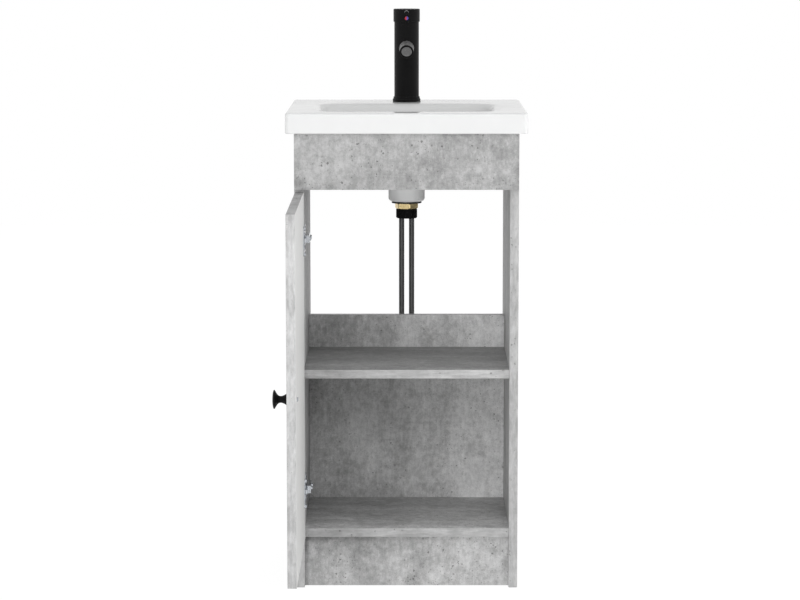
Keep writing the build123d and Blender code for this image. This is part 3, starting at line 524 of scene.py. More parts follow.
@dataclass(frozen=True)
class StoneLaminate:
    """Pressed laminate that looks like cast concrete, for one board."""

    name: str
    streaks: Streaks
    shift: Point
    dark: float = 0.265
    light: float = 0.67
    # Slope of the tone along X: painted light and shade, lighter towards the lit side.
    painted_light_slope: float = 0.0

    def material(self, effects: Effects) -> Material:
        """Build the board's material.

        Args:
            effects: The shared shader groups.

        Returns:
            The material.
        """
        coat = Finish(effects, self.name, 0.5)
        wiring = coat.wiring
        flat = wiring.place(self.shift)
        mixed = self.pattern(coat, flat, wiring.place(self.shift, self.streaks.value))
        middle = (self.dark + self.light) / 2
        stops = [(0.2, self.dark), (0.84, self.light), (0.44, middle * 0.87), (0.6, middle * 1.15)]
        grey = wiring.ramp(mixed, stops)
        smudge = wiring.times(wiring.noise(flat, 30.0, 10.0, 0.82), wiring.noise(flat, 11.0, 2.0))
        grey = wiring.blend(wiring.span(smudge, 0.29, 0.36, 0.0, 0.36), grey, (0.22, 0.22, 0.218, 1.0))
        grey, pits = coat.pitted(flat, grey, (250.0, 0.27, 0.26), 0.7, (0.09, 0.089, 0.087))
        grey, holes = coat.pitted(flat, grey, (118.0, 0.2, 0.3), 0.66, (0.085, 0.085, 0.083))
        coat.rubbed(grey, 0.0009, 160.0, 0.35, (0.72, 0.72, 0.71))
        coat.uneven(mixed, 0.2, 0.8, 0.45, 0.6)
        tooth = coat.effect(effects.grain, Vector=flat, Scale=1400.0)
        height = wiring.math("SUBTRACT", wiring.times(tooth, 0.4), wiring.math("MAXIMUM", pits, holes))
        coat.raised(height, 0.25, 0.0003)
        coat.gloss(Specular_IOR_Level=0.16)
        return coat.material

    def pattern(self, coat: Finish, flat: Socket, stretched: Socket) -> Socket:
        """The printed pattern as one number: clouds, streaks, mottle, scratches and specks, plus a painted
        light slope across X that lightens one side and darkens the other.

        Args:
            coat: The finish it belongs to.
            flat: The board's coordinates.
            stretched: The same, stretched along the streaks.

        Returns:
            The number's socket.
        """
        wiring, effects = coat.wiring, coat.effects
        tone = coat.effect(effects.clouds, Vector=flat, Scale=6.5)
        bands = coat.effect(effects.streaks, Vector=stretched, Scale=15.0)
        scratch = coat.effect(effects.streaks, Vector=stretched, Scale=260.0)
        mottle = wiring.span(wiring.noise(flat, 84.0, 10.0, 0.8), 0.37, 0.63)
        speck = wiring.span(wiring.noise(flat, 640.0, 5.0, 0.8), 0.35, 0.65)
        mixed = wiring.times(tone, 0.22)
        for layer, share in ((bands, 0.28), (mottle, 0.27), (scratch, 0.1), (speck, 0.15)):
            mixed = wiring.plus(mixed, wiring.times(layer, share))
        # Painted light and shade: the tone slopes along X, darker where the open door shades the board and
        # lighter towards the lamp.
        across = wiring.node("ShaderNodeSeparateXYZ")
        wiring.feed(across.inputs[0], wiring.place())
        return wiring.plus(mixed, wiring.times(across.outputs[0], self.painted_light_slope))


@dataclass(frozen=True)
class EdgeBand:
    """The lighter strip glued along a board's visible edge."""

    name: str
    streaks: Streaks
    grey: float = 0.5

    def material(self, effects: Effects) -> Material:
        """Build the strip's material.

        Args:
            effects: The shared shader groups.

        Returns:
            The material.
        """
        coat = Finish(effects, self.name, 0.48)
        wiring = coat.wiring
        flat = wiring.place()
        stretched = wiring.place((0.31, 0.17, 0.05), self.streaks.value)
        drawn = coat.effect(effects.streaks, Vector=stretched, Scale=160.0)
        tone = coat.effect(effects.clouds, Vector=flat, Scale=16.0)
        mixed = wiring.plus(wiring.times(drawn, 0.55), wiring.times(tone, 0.45))
        grey = wiring.ramp(mixed, [(0.15, self.grey * 0.74), (0.85, self.grey * 1.24)])
        grey, _ = coat.pitted(flat, grey, (150.0, 0.22, 0.4), 0.66, (0.14, 0.14, 0.135))
        coat.rubbed(grey, 0.0007, 200.0, 0.3, (0.78, 0.78, 0.76))
        coat.uneven(drawn, 0.0, 1.0, 0.42, 0.54)
        coat.toothed(flat, 1600.0, 0.18, 0.0002)
        coat.gloss(Specular_IOR_Level=0.35)
        return coat.material


@dataclass(frozen=True)
class PlainSheet:
    """A one-colour sheet or moulded skin with a fine tooth: melamine, plastic, enamel or rubber."""

    name: str
    colour: Point
    roughness: float
    vary: float = 0.06
    tooth: float = 1200.0
    bump: float = 0.12
    worn_to: Point = (0.8, 0.8, 0.78)
    wear: float = 0.12
    specular: float = 0.5

    def material(self, effects: Effects) -> Material:
        """Build the skin's material.

        Args:
            effects: The shared shader groups.

        Returns:
            The material.
        """
        coat = Finish(effects, self.name, self.roughness)
        flat = coat.wiring.place((0.013, 0.029, 0.041))
        tone, colour = coat.mottled(flat, 22.0, self.colour, 1.0 - self.vary, 1.0 + self.vary)
        coat.rubbed(colour, 0.0005, 260.0, self.wear, self.worn_to)
        coat.uneven(tone, 0.0, 1.0, self.roughness - 0.04, self.roughness + 0.06)
        coat.toothed(flat, self.tooth, self.bump, 0.0002)
        coat.gloss(Specular_IOR_Level=self.specular)
        return coat.material


@dataclass(frozen=True)
class Glaze:
    """White sanitary glaze: a clear coat over a faintly uneven white body."""

    name: str
    white: float = 0.88

    def material(self, effects: Effects) -> Material:
        """Build the glaze's material.

        Args:
            effects: The shared shader groups.

        Returns:
            The material.
        """
        coat = Finish(effects, self.name, 0.2)
        flat = coat.wiring.place()
        tone = coat.effect(effects.clouds, Vector=flat, Scale=9.0)
        low = (self.white * 0.98, self.white * 0.985, self.white * 0.985, 1.0)
        high = (self.white, self.white * 1.003, self.white * 1.003, 1.0)
        colour = coat.wiring.blend(tone, low, high)
        colour, _ = coat.pitted(flat, colour, (70.0, 0.03, 0.05), 0.25, (0.55, 0.53, 0.5))
        coat.wiring.feed(coat.surface["Base Color"], colour)
        coat.uneven(tone, 0.0, 1.0, 0.15, 0.23)
        coat.raised(coat.wiring.noise(flat, 40.0, 2.0, 0.4), 0.02, 0.0004)
        coat.gloss(Specular_IOR_Level=0.24, Coat_Weight=0.08, Coat_Roughness=0.04)
        return coat.material


@dataclass(frozen=True)
class TurnedMetal:
    """Bare or plated metal with tool marks round an axis."""

    name: str
    colour: Point
    roughness: float
    centre: Point = (0.0, 0.0, 0.0)
    pitch: float = 0.00045
    marks: float = 0.12

    def material(self, effects: Effects) -> Material:
        """Build the metal's material.

        Args:
            effects: The shared shader groups.

        Returns:
            The material.
        """
        coat = Finish(effects, self.name, self.roughness, 1.0)
        centred = coat.wiring.place(tuple(-part for part in self.centre))
        lines = coat.effect(effects.rings, Vector=centred, Pitch=self.pitch)
        cloud, colour = coat.mottled(centred, 70.0, self.colour, 0.84, 1.08)
        bright = tuple(min(1.0, part * 1.3) for part in self.colour)
        coat.rubbed(colour, 0.0004, 300.0, 0.5, bright)
        coat.uneven(cloud, 0.0, 1.0, self.roughness * 0.8, self.roughness * 1.35)
        coat.raised(lines, self.marks, 0.0002)
        return coat.material


@dataclass(frozen=True)
class BlackCoat:
    """Matte black powder coat on brass, with rubbed edges."""

    name: str
    roughness: float = 0.5

    def material(self, effects: Effects) -> Material:
        """Build the coat's material.

        Args:
            effects: The shared shader groups.

        Returns:
            The material.
        """
        coat = Finish(effects, self.name, self.roughness)
        flat = coat.wiring.place()
        tone = coat.effect(effects.clouds, Vector=flat, Scale=40.0)
        colour = coat.wiring.blend(tone, (0.002, 0.002, 0.0021, 1.0), (0.004, 0.004, 0.0042, 1.0))
        coat.rubbed(colour, 0.0006, 220.0, 0.15, (0.1, 0.097, 0.094))
        coat.uneven(tone, 0.0, 1.0, self.roughness - 0.05, self.roughness + 0.07)
        coat.toothed(flat, 1900.0, 0.16, 0.00015)
        coat.gloss(Specular_IOR_Level=0.14, Sheen_Weight=0.19, Sheen_Roughness=0.28)
        return coat.material


@dataclass(frozen=True)
class BraidedHose:
    """Dark polymer braid on one upright hose."""

    name: str
    axis: tuple[float, float]

    def material(self, effects: Effects) -> Material:
        """Build the braid's material.

        Args:
            effects: The shared shader groups.

        Returns:
            The material.
        """
        coat = Finish(effects, self.name, 0.36, 0.75)
        wiring = coat.wiring
        centred = wiring.place((-self.axis[0], -self.axis[1], 0.0))
        woven = wiring.node("ShaderNodeGroup", node_tree=effects.braid)
        for name, value in (("Vector", centred), ("Strands", 8.0), ("Lay", 1500.0)):
            wiring.feed(woven.inputs[name], value)
        height, over = woven.outputs
        colour = wiring.blend(height, (0.012, 0.012, 0.012, 1.0), (0.2, 0.2, 0.202, 1.0))
        colour = wiring.blend(wiring.times(over, 0.35), colour, (0.03, 0.03, 0.031, 1.0))
        wiring.feed(coat.surface["Base Color"], colour)
        coat.uneven(height, 0.3, 1.0, 0.6, 0.34)
        coat.raised(height, 0.5, 0.0003)
        return coat.material


class Palette:
    """Every finish of the unit that is not made for one board alone."""

    def __init__(self, effects: Effects) -> None:
        """Build the shared materials.

        Args:
            effects: The shared shader groups.
        """
        self.effects = effects
        self.upright_band = EdgeBand("Edge band upright", Streaks.UPRIGHT, 0.5).material(effects)
        self.level_band = EdgeBand("Edge band level", Streaks.LEVEL, 0.5).material(effects)
        self.door_band = EdgeBand("Door edge band", Streaks.UPRIGHT, 0.6).material(effects)
        self.door_inside = self.plain("Door inside melamine", (0.74, 0.74, 0.73), 0.55, 0.012)
        self.glaze = Glaze("Sanitary glaze").material(effects)
        self.black = BlackCoat("Black powder coat").material(effects)
        self.nickel = TurnedMetal("Nickel plate", (0.62, 0.645, 0.68), 0.16, marks=0.04).material(effects)
        self.chrome = TurnedMetal("Chrome plate", (0.8, 0.81, 0.83), 0.08, marks=0.02).material(effects)
        self.steel = TurnedMetal("Zinc plated steel", (0.46, 0.48, 0.51), 0.24, marks=0.06).material(effects)
        grey, pale, dark = (0.09,) * 3, (0.78, 0.78, 0.74), (0.06,) * 3
        self.rubber = self.plain("Black rubber", (0.02,) * 3, 0.7, 0.2, 700.0, 0.3, grey)
        self.black_plastic = self.plain(
            "Black plastic", (0.004,) * 3, 0.5, 0.2, 900.0, 0.2, dark, specular=0.1
        )
        self.white_plastic = self.plain("White plastic", pale, 0.4, 0.04, 800.0, 0.1)
        self.screen = self.plain("Aerator screen", (0.17,) * 3, 0.4, 0.1, 900.0, 0.1)
        self.red = self.plain("Red enamel", (0.62, 0.03, 0.045), 0.2, 0.06, 500.0, 0.04, (0.8, 0.2, 0.2))
        self.blue = self.plain("Blue enamel", (0.09, 0.08, 0.5), 0.2, 0.06, 500.0, 0.04, (0.3, 0.35, 0.8))

    def plain(self, *settings: object, **more: float) -> Material:
        """A plain sheet's material from the sheet's own settings."""
        return PlainSheet(*settings, **more).material(self.effects)

    def turned(self, name: str, colour: Point, roughness: float, centre: Point) -> Material:
        """A metal whose tool marks run round one piece's own axis."""
        return TurnedMetal(name, colour, roughness, centre).material(self.effects)


# --------------------------------------------------------------------- meshes


class Mesher:
    """Makes finished mesh objects, each at the origin with its place in its mesh."""

    @staticmethod
    def finish(
        work: Mesh,
        name: str,
        finishes: Sequence[Material],
        sharp: float = 32.0,
        place: Matrix = Matrix.Identity(4),
    ) -> Piece:
        """Turn a working mesh into an object with smooth faces and sharp edges.

        Args:
            work: The mesh, which is freed.
            name: The object's name.
            finishes: Its materials, in slot order.
            sharp: Edges that bend by more than this many degrees stay sharp.
            place: Where the mesh goes in the row frame.

        Returns:
            The object.
        """
        work.transform(place)
        if place.determinant() < 0:
            bmesh.ops.reverse_faces(work, faces=work.faces)
        limit = math.radians(sharp)
        for face in work.faces:
            face.smooth = True
        for edge in work.edges:
            edge.smooth = len(edge.link_faces) == 2 and edge.calc_face_angle(0.0) < limit
        data = bpy.data.meshes.new(name)
        work.to_mesh(data)
        work.free()
        for finish in finishes:
            data.materials.append(finish)
        made = bpy.data.objects.new(name, data)
        bpy.context.scene.collection.objects.link(made)
        return made

    @staticmethod
    def even_normals(piece: Piece) -> Piece:
        """Weigh a piece's normals by face size, so that its flats stay flat beside its rounds.

        Args:
            piece: The piece.

        Returns:
            The piece.
        """
        weigh = piece.modifiers.new("Even normals", "WEIGHTED_NORMAL")
        weigh.keep_sharp = True
        weigh.weight = 80
        return piece

    @staticmethod
    def block(low: Vector, high: Vector, soften: float, rings: int = 2) -> Mesh:
        """A box between two corners with softened edges.

        Args:
            low: Its lowest corner.
            high: Its highest corner.
            soften: Width of the softened edge.
            rings: Steps across that edge.

        Returns:
            The working mesh.
        """
        work = bmesh.new()
        bmesh.ops.create_cube(work, size=1.0)
        middle, size = (low + high) / 2, high - low
        work.transform(Matrix.Translation(middle) @ Matrix.Diagonal((*size, 1.0)))
        edges = list(work.edges)
        bmesh.ops.bevel(
            work, geom=edges, offset=soften, segments=rings, profile=0.5, affect="EDGES", clamp_overlap=True
        )
        return work

    @staticmethod
    def turned(outline: Outline, steps: int = 64) -> Mesh:
        """A piece turned round Z.

        Args:
            outline: Radius and height pairs from the lower axis or bore to the upper one.
            steps: Faces round the axis.

        Returns:
            The working mesh, with outward faces.
        """
        work = bmesh.new()
        dots = [work.verts.new((radius, 0.0, height)) for radius, height in outline]
        lines = [work.edges.new(pair) for pair in zip(dots, dots[1:])]
        if outline[0][0] > 1e-7:
            lines.append(work.edges.new((dots[-1], dots[0])))
        shape = dots + lines
        bmesh.ops.spin(
            work, geom=shape, cent=(0, 0, 0), axis=(0, 0, 1), angle=math.tau, steps=steps, use_merge=True
        )
        bmesh.ops.remove_doubles(work, verts=work.verts, dist=1e-7)
        bmesh.ops.recalc_face_normals(work, faces=work.faces)
        return work

    @staticmethod
    def prism(flats: float, low: float, high: float, turn: float = 0.0, soften: float = 0.0) -> Mesh:
        """An upright six-sided bar, with a flat across X before it is turned.

        Args:
            flats: Size across its flats.
            low: Height of its lower end.
            high: Height of its upper end.
            turn: Degrees it is turned by.
            soften: Width of its softened edges.

        Returns:
            The working mesh.
        """
        work = bmesh.new()
        radius = flats / 2 / math.cos(HEX_HALF_ANGLE)
        bmesh.ops.create_cone(
            work, cap_ends=True, segments=6, radius1=radius, radius2=radius, depth=high - low
        )
        spin = Matrix.Rotation(math.radians(turn), 4, "Z")
        work.transform(Matrix.Translation((0, 0, (low + high) / 2)) @ spin)
        if soften:
            edges = list(work.edges)
            bmesh.ops.bevel(work, geom=edges, offset=soften, segments=2, profile=0.5, affect="EDGES")
        return work

    @staticmethod
    def refined(node: str, name: str, finishes: Sequence[Material], sharp: float = 28.0) -> Piece:
        """A copy of a CAD node with its triangles merged and its rounds smooth.

        Args:
            node: The CAD node, which the copy stands for.
            name: The piece's name.
            finishes: Its materials.
            sharp: Edges that bend by more than this many degrees stay sharp.

        Returns:
            The piece.
        """
        work = bmesh.new()
        work.from_mesh(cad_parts[node].data)
        bmesh.ops.remove_doubles(work, verts=work.verts, dist=2e-6)
        bmesh.ops.dissolve_degenerate(work, edges=work.edges, dist=1e-6)
        for face in work.faces:
            face.material_index = 0
        piece = Mesher.finish(work, name, finishes, sharp)
        return Mesher.even_normals(piece)


class Axis:
    """Turns a piece built round Z to another axis."""

    @staticmethod
    def at(origin: Vector, direction: Vector) -> Matrix:
        """The placing that takes Z to a direction at a point."""
        turn = direction.normalized().to_track_quat("Z", "Y").to_matrix().to_4x4()
        return Matrix.Translation(origin) @ turn


def settle(piece: Piece, body: str, slot: str, *nodes: str) -> Piece:
    """Give a finished piece its body and hide the CAD nodes that it stands for.

    Args:
        piece: The piece.
        body: The CAD body it rides on.
        slot: The record's material slot; not used.
        nodes: The CAD nodes that it replaces.

    Returns:
        The piece.
    """
    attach(piece, body)
    if nodes:
        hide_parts(*nodes)
    LOG.info("%s rides on %s", piece.name, body)
    return piece


def lathe(
    name: str,
    outline: Outline,
    finish: Material,
    steps: int = 64,
    sharp: float = 30.0,
    place: Matrix = Matrix.Identity(4),
) -> Piece:
    """Turn an outline round Z and put the piece in its place.

    Args:
        name: The piece's name.
        outline: Radius and height pairs.
        finish: Its material.
        steps: Faces round the axis.
        sharp: Edges that bend by more than this many degrees stay sharp.
        place: Where it goes in the row frame.

    Returns:
        The piece.
    """
    return Mesher.finish(Mesher.turned(outline, steps), name, [finish], sharp, place)


# ------------------------------------------------------------- geometry nodes


class Pattern:
    """A geometry node tree that repeats a shape, and the way to bake it to a plain mesh."""

    def __init__(self, name: str, inputs: Sequence[tuple[str, str, object]]) -> None:
        """Start the tree.

        Args:
            name: The tree's name.
            inputs: Name, kind and default of each input after the geometry.
        """
        self.tree = bpy.data.node_groups.new(name, "GeometryNodeTree")
        face = self.tree.interface
        face.new_socket(name="Geometry", in_out="INPUT", socket_type="NodeSocketGeometry")
        for label, kind, default in inputs:
            socket = face.new_socket(name=label, in_out="INPUT", socket_type=kind)
            if default is not None:
                socket.default_value = default
        face.new_socket(name="Finish", in_out="INPUT", socket_type="NodeSocketMaterial")
        face.new_socket(name="Geometry", in_out="OUTPUT", socket_type="NodeSocketGeometry")
        self.wiring = Wiring(self.tree)
        self.given = self.wiring.node("NodeGroupInput").outputs

    def close(self, instances: Socket) -> None:
        """End the tree in real geometry with its material.

        Args:
            instances: The repeated shape.
        """
        real = self.wiring.node("GeometryNodeRealizeInstances")
        self.wiring.feed(real.inputs["Geometry"], instances)
        coat = self.wiring.node("GeometryNodeSetMaterial")
        self.wiring.feed(coat.inputs["Geometry"], real.outputs["Geometry"])
        self.wiring.feed(coat.inputs["Material"], self.given["Finish"])
        out = self.wiring.node("NodeGroupOutput")
        self.wiring.feed(out.inputs["Geometry"], coat.outputs["Geometry"])

    def moved(self, shape: Socket, offset: Plug) -> Socket:
        """A shape moved by an offset.

        Args:
            shape: The shape.
            offset: How far it moves.

        Returns:
            The moved shape.
        """
        made = self.wiring.node("GeometryNodeTransform")
        self.wiring.feed(made.inputs["Geometry"], shape)
        self.wiring.feed(made.inputs["Translation"], offset)
        return made.outputs["Geometry"]

    def vector(self, x: Plug, y: Plug, z: Plug) -> Socket:
        """A vector from three numbers.

        Args:
            x: Its first part.
            y: Its second part.
            z: Its third part.

        Returns:
            The vector's socket.
        """
        made = self.wiring.node("ShaderNodeCombineXYZ")
        for socket, part in zip(made.inputs, (x, y, z)):
            self.wiring.feed(socket, part)
        return made.outputs[0]

    def bake(
        self,
        name: str,
        points: Sequence[Point],
        finish: Material,
        values: dict[str, object],
        place: Matrix = Matrix.Identity(4),
        sharp: float = 30.0,
    ) -> Piece:
        """Run the tree on points and keep the result as a plain mesh.

        Args:
            name: Name of the piece.
            points: Where the shape is repeated.
            finish: The piece's material.
            values: Values by input name.
            place: Where the result goes in the row frame.
            sharp: Edges that bend by more than this many degrees stay sharp.

        Returns:
            The piece.
        """
        data = bpy.data.meshes.new(name + "_points")
        data.from_pydata([Vector(point) for point in points], [], [])
        carrier = bpy.data.objects.new(name + "_points", data)
        bpy.context.scene.collection.objects.link(carrier)
        run = carrier.modifiers.new("Pattern", "NODES")
        run.node_group = self.tree
        for item in self.tree.interface.items_tree:
            if item.in_out == "INPUT" and item.name in values:
                run[item.identifier] = values[item.name]
            if item.in_out == "INPUT" and item.name == "Finish":
                run[item.identifier] = finish
        graph = bpy.context.evaluated_depsgraph_get()
        baked = bpy.data.meshes.new_from_object(carrier.evaluated_get(graph))
        carrier.modifiers.remove(run)
        bpy.data.objects.remove(carrier)
        work = bmesh.new()
        work.from_mesh(baked)
        bpy.data.meshes.remove(baked)
        return Mesher.finish(work, name, [finish], sharp, place)


class CrossHeads(Pattern):
    """Pan heads with a cross recess, one on each point, all facing one way."""

    def __init__(self) -> None:
        """Build the tree."""
        inputs = [
            ("Head Radius", "NodeSocketFloat", 0.0037),
            ("Crown Radius", "NodeSocketFloat", 0.0028),
            ("Head Height", "NodeSocketFloat", 0.002),
            ("Slot Length", "NodeSocketFloat", 0.004),
            ("Slot Width", "NodeSocketFloat", 0.0008),
            ("Slot Depth", "NodeSocketFloat", 0.0006),
            ("Facing", "NodeSocketVector", (1.0, 0.0, 0.0)),
        ]
        super().__init__("Cross heads", inputs)
        wiring, given = self.wiring, self.given
        head = wiring.node("GeometryNodeMeshCone")
        head.inputs["Vertices"].default_value = 28
        head.inputs["Side Segments"].default_value = 3
        wiring.feed(head.inputs["Radius Top"], given["Crown Radius"])
        wiring.feed(head.inputs["Radius Bottom"], given["Head Radius"])
        wiring.feed(head.inputs["Depth"], given["Head Height"])
        cut = wiring.node("GeometryNodeMeshBoolean", operation="DIFFERENCE")
        wiring.feed(cut.inputs["Mesh 1"], head.outputs["Mesh"])
        deep = wiring.times(given["Slot Depth"], 2.0)
        level = self.vector(0.0, 0.0, given["Head Height"])
        for along in (True, False):
            bar = wiring.node("GeometryNodeMeshCube")
            long, wide = given["Slot Length"], given["Slot Width"]
            size = self.vector(long, wide, deep) if along else self.vector(wide, long, deep)
            wiring.feed(bar.inputs["Size"], size)
            wiring.feed(cut.inputs["Mesh 2"], self.moved(bar.outputs["Mesh"], level))
        turn = wiring.node("FunctionNodeAlignRotationToVector", axis="Z")
        wiring.feed(turn.inputs["Vector"], given["Facing"])
        spread = wiring.node("GeometryNodeInstanceOnPoints")
        wiring.feed(spread.inputs["Points"], given["Geometry"])
        wiring.feed(spread.inputs["Instance"], cut.outputs["Mesh"])
        wiring.feed(spread.inputs["Rotation"], turn.outputs["Rotation"])
        self.close(spread.outputs["Instances"])


class GripRibs(Pattern):
    """Upright ribs round a collar, one on each point, each turned to face outward."""

    def __init__(self) -> None:
        """Build the tree."""
        inputs = [
            ("Rib Depth", "NodeSocketFloat", 0.0008),
            ("Rib Width", "NodeSocketFloat", 0.0016),
            ("Rib Height", "NodeSocketFloat", 0.012),
        ]
        super().__init__("Grip ribs", inputs)
        wiring, given = self.wiring, self.given
        rib = wiring.node("GeometryNodeMeshCylinder")
        rib.inputs["Vertices"].default_value = 8
        rib.inputs["Radius"].default_value = 0.5
        rib.inputs["Depth"].default_value = 1.0
        shape = wiring.node("GeometryNodeTransform")
        wiring.feed(shape.inputs["Geometry"], rib.outputs["Mesh"])
        size = self.vector(given["Rib Depth"], given["Rib Width"], given["Rib Height"])
        wiring.feed(shape.inputs["Scale"], size)
        where = wiring.node("GeometryNodeInputPosition")
        outward = wiring.node("ShaderNodeVectorMath", operation="MULTIPLY")
        wiring.feed(outward.inputs[0], where.outputs[0])
        outward.inputs[1].default_value = (1.0, 1.0, 0.0)
        turn = wiring.node("FunctionNodeAlignRotationToVector", axis="X", pivot_axis="Z")
        wiring.feed(turn.inputs["Vector"], outward.outputs[0])
        spread = wiring.node("GeometryNodeInstanceOnPoints")
        wiring.feed(spread.inputs["Points"], given["Geometry"])
        wiring.feed(spread.inputs["Instance"], shape.outputs["Geometry"])
        wiring.feed(spread.inputs["Rotation"], turn.outputs["Rotation"])
        self.close(spread.outputs["Instances"])


class Thread(Pattern):
    """A thread wound up round Z from the origin."""

    def __init__(self) -> None:
        """Build the tree."""
        inputs = [
            ("Core Radius", "NodeSocketFloat", 0.004),
            ("Turns", "NodeSocketFloat", 20.0),
            ("Length", "NodeSocketFloat", 0.02),
            ("Ridge", "NodeSocketFloat", 0.0004),
        ]
        super().__init__("Thread", inputs)
        wiring, given = self.wiring, self.given
        path = wiring.node("GeometryNodeCurveSpiral")
        path.inputs["Resolution"].default_value = 24
        wiring.feed(path.inputs["Rotations"], given["Turns"])
        wiring.feed(path.inputs["Start Radius"], given["Core Radius"])
        wiring.feed(path.inputs["End Radius"], given["Core Radius"])
        wiring.feed(path.inputs["Height"], given["Length"])
        ridge = wiring.node("GeometryNodeCurvePrimitiveCircle", mode="RADIUS")
        ridge.inputs["Resolution"].default_value = 5
        wiring.feed(ridge.inputs["Radius"], given["Ridge"])
        wind = wiring.node("GeometryNodeCurveToMesh")
        wiring.feed(wind.inputs["Curve"], path.outputs["Curve"])
        wiring.feed(wind.inputs["Profile Curve"], ridge.outputs["Curve"])
        wind.inputs["Fill Caps"].default_value = True
        self.close(wind.outputs["Mesh"])


class ScreenCells(Pattern):
    """Small six-sided cells, one on each point."""

    def __init__(self) -> None:
        """Build the tree."""
        inputs = [("Cell Radius", "NodeSocketFloat", 0.0006), ("Cell Height", "NodeSocketFloat", 0.0004)]
        super().__init__("Screen cells", inputs)
        wiring, given = self.wiring, self.given
        cell = wiring.node("GeometryNodeMeshCylinder")
        cell.inputs["Vertices"].default_value = 6
        wiring.feed(cell.inputs["Radius"], given["Cell Radius"])
        wiring.feed(cell.inputs["Depth"], given["Cell Height"])
        spread = wiring.node("GeometryNodeInstanceOnPoints")
        wiring.feed(spread.inputs["Points"], given["Geometry"])
        wiring.feed(spread.inputs["Instance"], cell.outputs["Mesh"])
        self.close(spread.outputs["Instances"])


# --------------------------------------------------------------------- studio


@dataclass
class Studio:
    """The camera, the lamps, the white world and the pale floor."""

    distance: float = 4.7887
    height: float = 1.1267
    pitch: float = 7.4657
    lens: float = 126.925
    shift: float = -0.00828
    ambient: float = 0.52
    floor_glow: float = 1.13
    floor_share: float = 0.82
    lamps: tuple = (
        ("Key lamp", (-1.25, -3.2, 0.62), (0.0, 0.0, 0.42), 0.8, 29.0),
        ("Top lamp", (0.2, -2.6, 1.9), (0.0, 0.2, 0.8), 0.9, 14.0),
        ("Door lamp", (2.3, -0.5, 0.8), (-0.18, -0.2, 0.45), 0.8, 18.0),
        ("Rear lamp", (0.5, 2.8, 1.5), (0.0, 0.3, 0.5), 1.2, 6.0),
    )

    def camera(self) -> None:
        """Stand the camera where the photograph was taken from."""
        data = bpy.data.cameras.new("Photo camera")
        data.lens = self.lens
        data.sensor_width = 36.0
        data.shift_x = self.shift
        data.clip_end = 200.0
        made = bpy.data.objects.new("Photo camera", data)
        made.location = (0.0, -self.distance, self.height)
        made.rotation_euler = (math.radians(90.0 - self.pitch), 0.0, 0.0)
        bpy.context.scene.collection.objects.link(made)
        bpy.context.scene.camera = made

    @staticmethod
    def lamp(name: str, place: Point, target: Point, size: float, power: float) -> None:
        """Hang one soft square lamp, which glossy surfaces don't show.

        Args:
            name: The lamp's name.
            place: Where it hangs.
            target: The point that it faces.
            size: Length of its side.
            power: Its power in watts.
        """
        data = bpy.data.lights.new(name, "AREA")
        data.shape = "SQUARE"
        data.size = size
        data.energy = power
        made = bpy.data.objects.new(name, data)
        made.location = place
        aim = Vector(target) - Vector(place)
        made.rotation_euler = aim.to_track_quat("-Z", "Y").to_euler()
        made.visible_glossy = False
        bpy.context.scene.collection.objects.link(made)

    def world(self) -> None:
        """White where the camera or a gloss ray sees it, a plain level for everything else."""
        world = bpy.data.worlds.new("Studio white")
        bpy.context.scene.world = world
        world.use_nodes = True
        wiring = Wiring(world.node_tree)
        ground = world.node_tree.nodes["Background"]
        ray = wiring.node("ShaderNodeLightPath").outputs
        seen = wiring.math("MAXIMUM", ray["Is Camera Ray"], ray["Is Glossy Ray"])
        seen = wiring.math("MAXIMUM", seen, ray["Is Transmission Ray"])
        ground.inputs["Color"].default_value = (1.0, 1.0, 1.0, 1.0)
        level = wiring.plus(wiring.times(seen, 1.0 - self.ambient), self.ambient)
        wiring.feed(ground.inputs["Strength"], level)

    def floor(self) -> None:
        """A pale floor that keeps a faint shadow and ends far behind the unit."""
        work = bmesh.new()
        bmesh.ops.create_grid(work, x_segments=2, y_segments=2, size=6.0)
        made = bpy.data.materials.new("Pale floor")
        made.use_nodes = True
        wiring = Wiring(made.node_tree)
        surface = made.node_tree.nodes["Principled BSDF"].inputs
        surface["Roughness"].default_value = 0.9
        surface["Base Color"].default_value = (0.82, 0.82, 0.82, 1.0)
        surface["Specular IOR Level"].default_value = 0.1
        glow = wiring.node("ShaderNodeEmission")
        glow.inputs["Strength"].default_value = self.floor_glow
        ray = wiring.node("ShaderNodeLightPath").outputs
        seen = wiring.math("MAXIMUM", ray["Is Camera Ray"], ray["Is Glossy Ray"])
        share = wiring.times(seen, self.floor_share)
        both = wiring.node("ShaderNodeMixShader")
        wiring.feed(both.inputs[0], share)
        wiring.feed(both.inputs[1], made.node_tree.nodes["Principled BSDF"].outputs[0])
        wiring.feed(both.inputs[2], glow.outputs[0])
        wiring.feed(made.node_tree.nodes["Material Output"].inputs["Surface"], both.outputs[0])
        piece = Mesher.finish(work, "Studio_floor", [made], 32.0, Matrix.Translation((0.0, 0.0, -0.0006)))

    def build(self) -> None:
        """Set up the whole studio."""
        self.camera()
        self.world()
        self.floor()
        for lamp in self.lamps:
            self.lamp(*lamp)
        LOG.info("studio ready")


# ---------------------------------------------------------------------- hoses


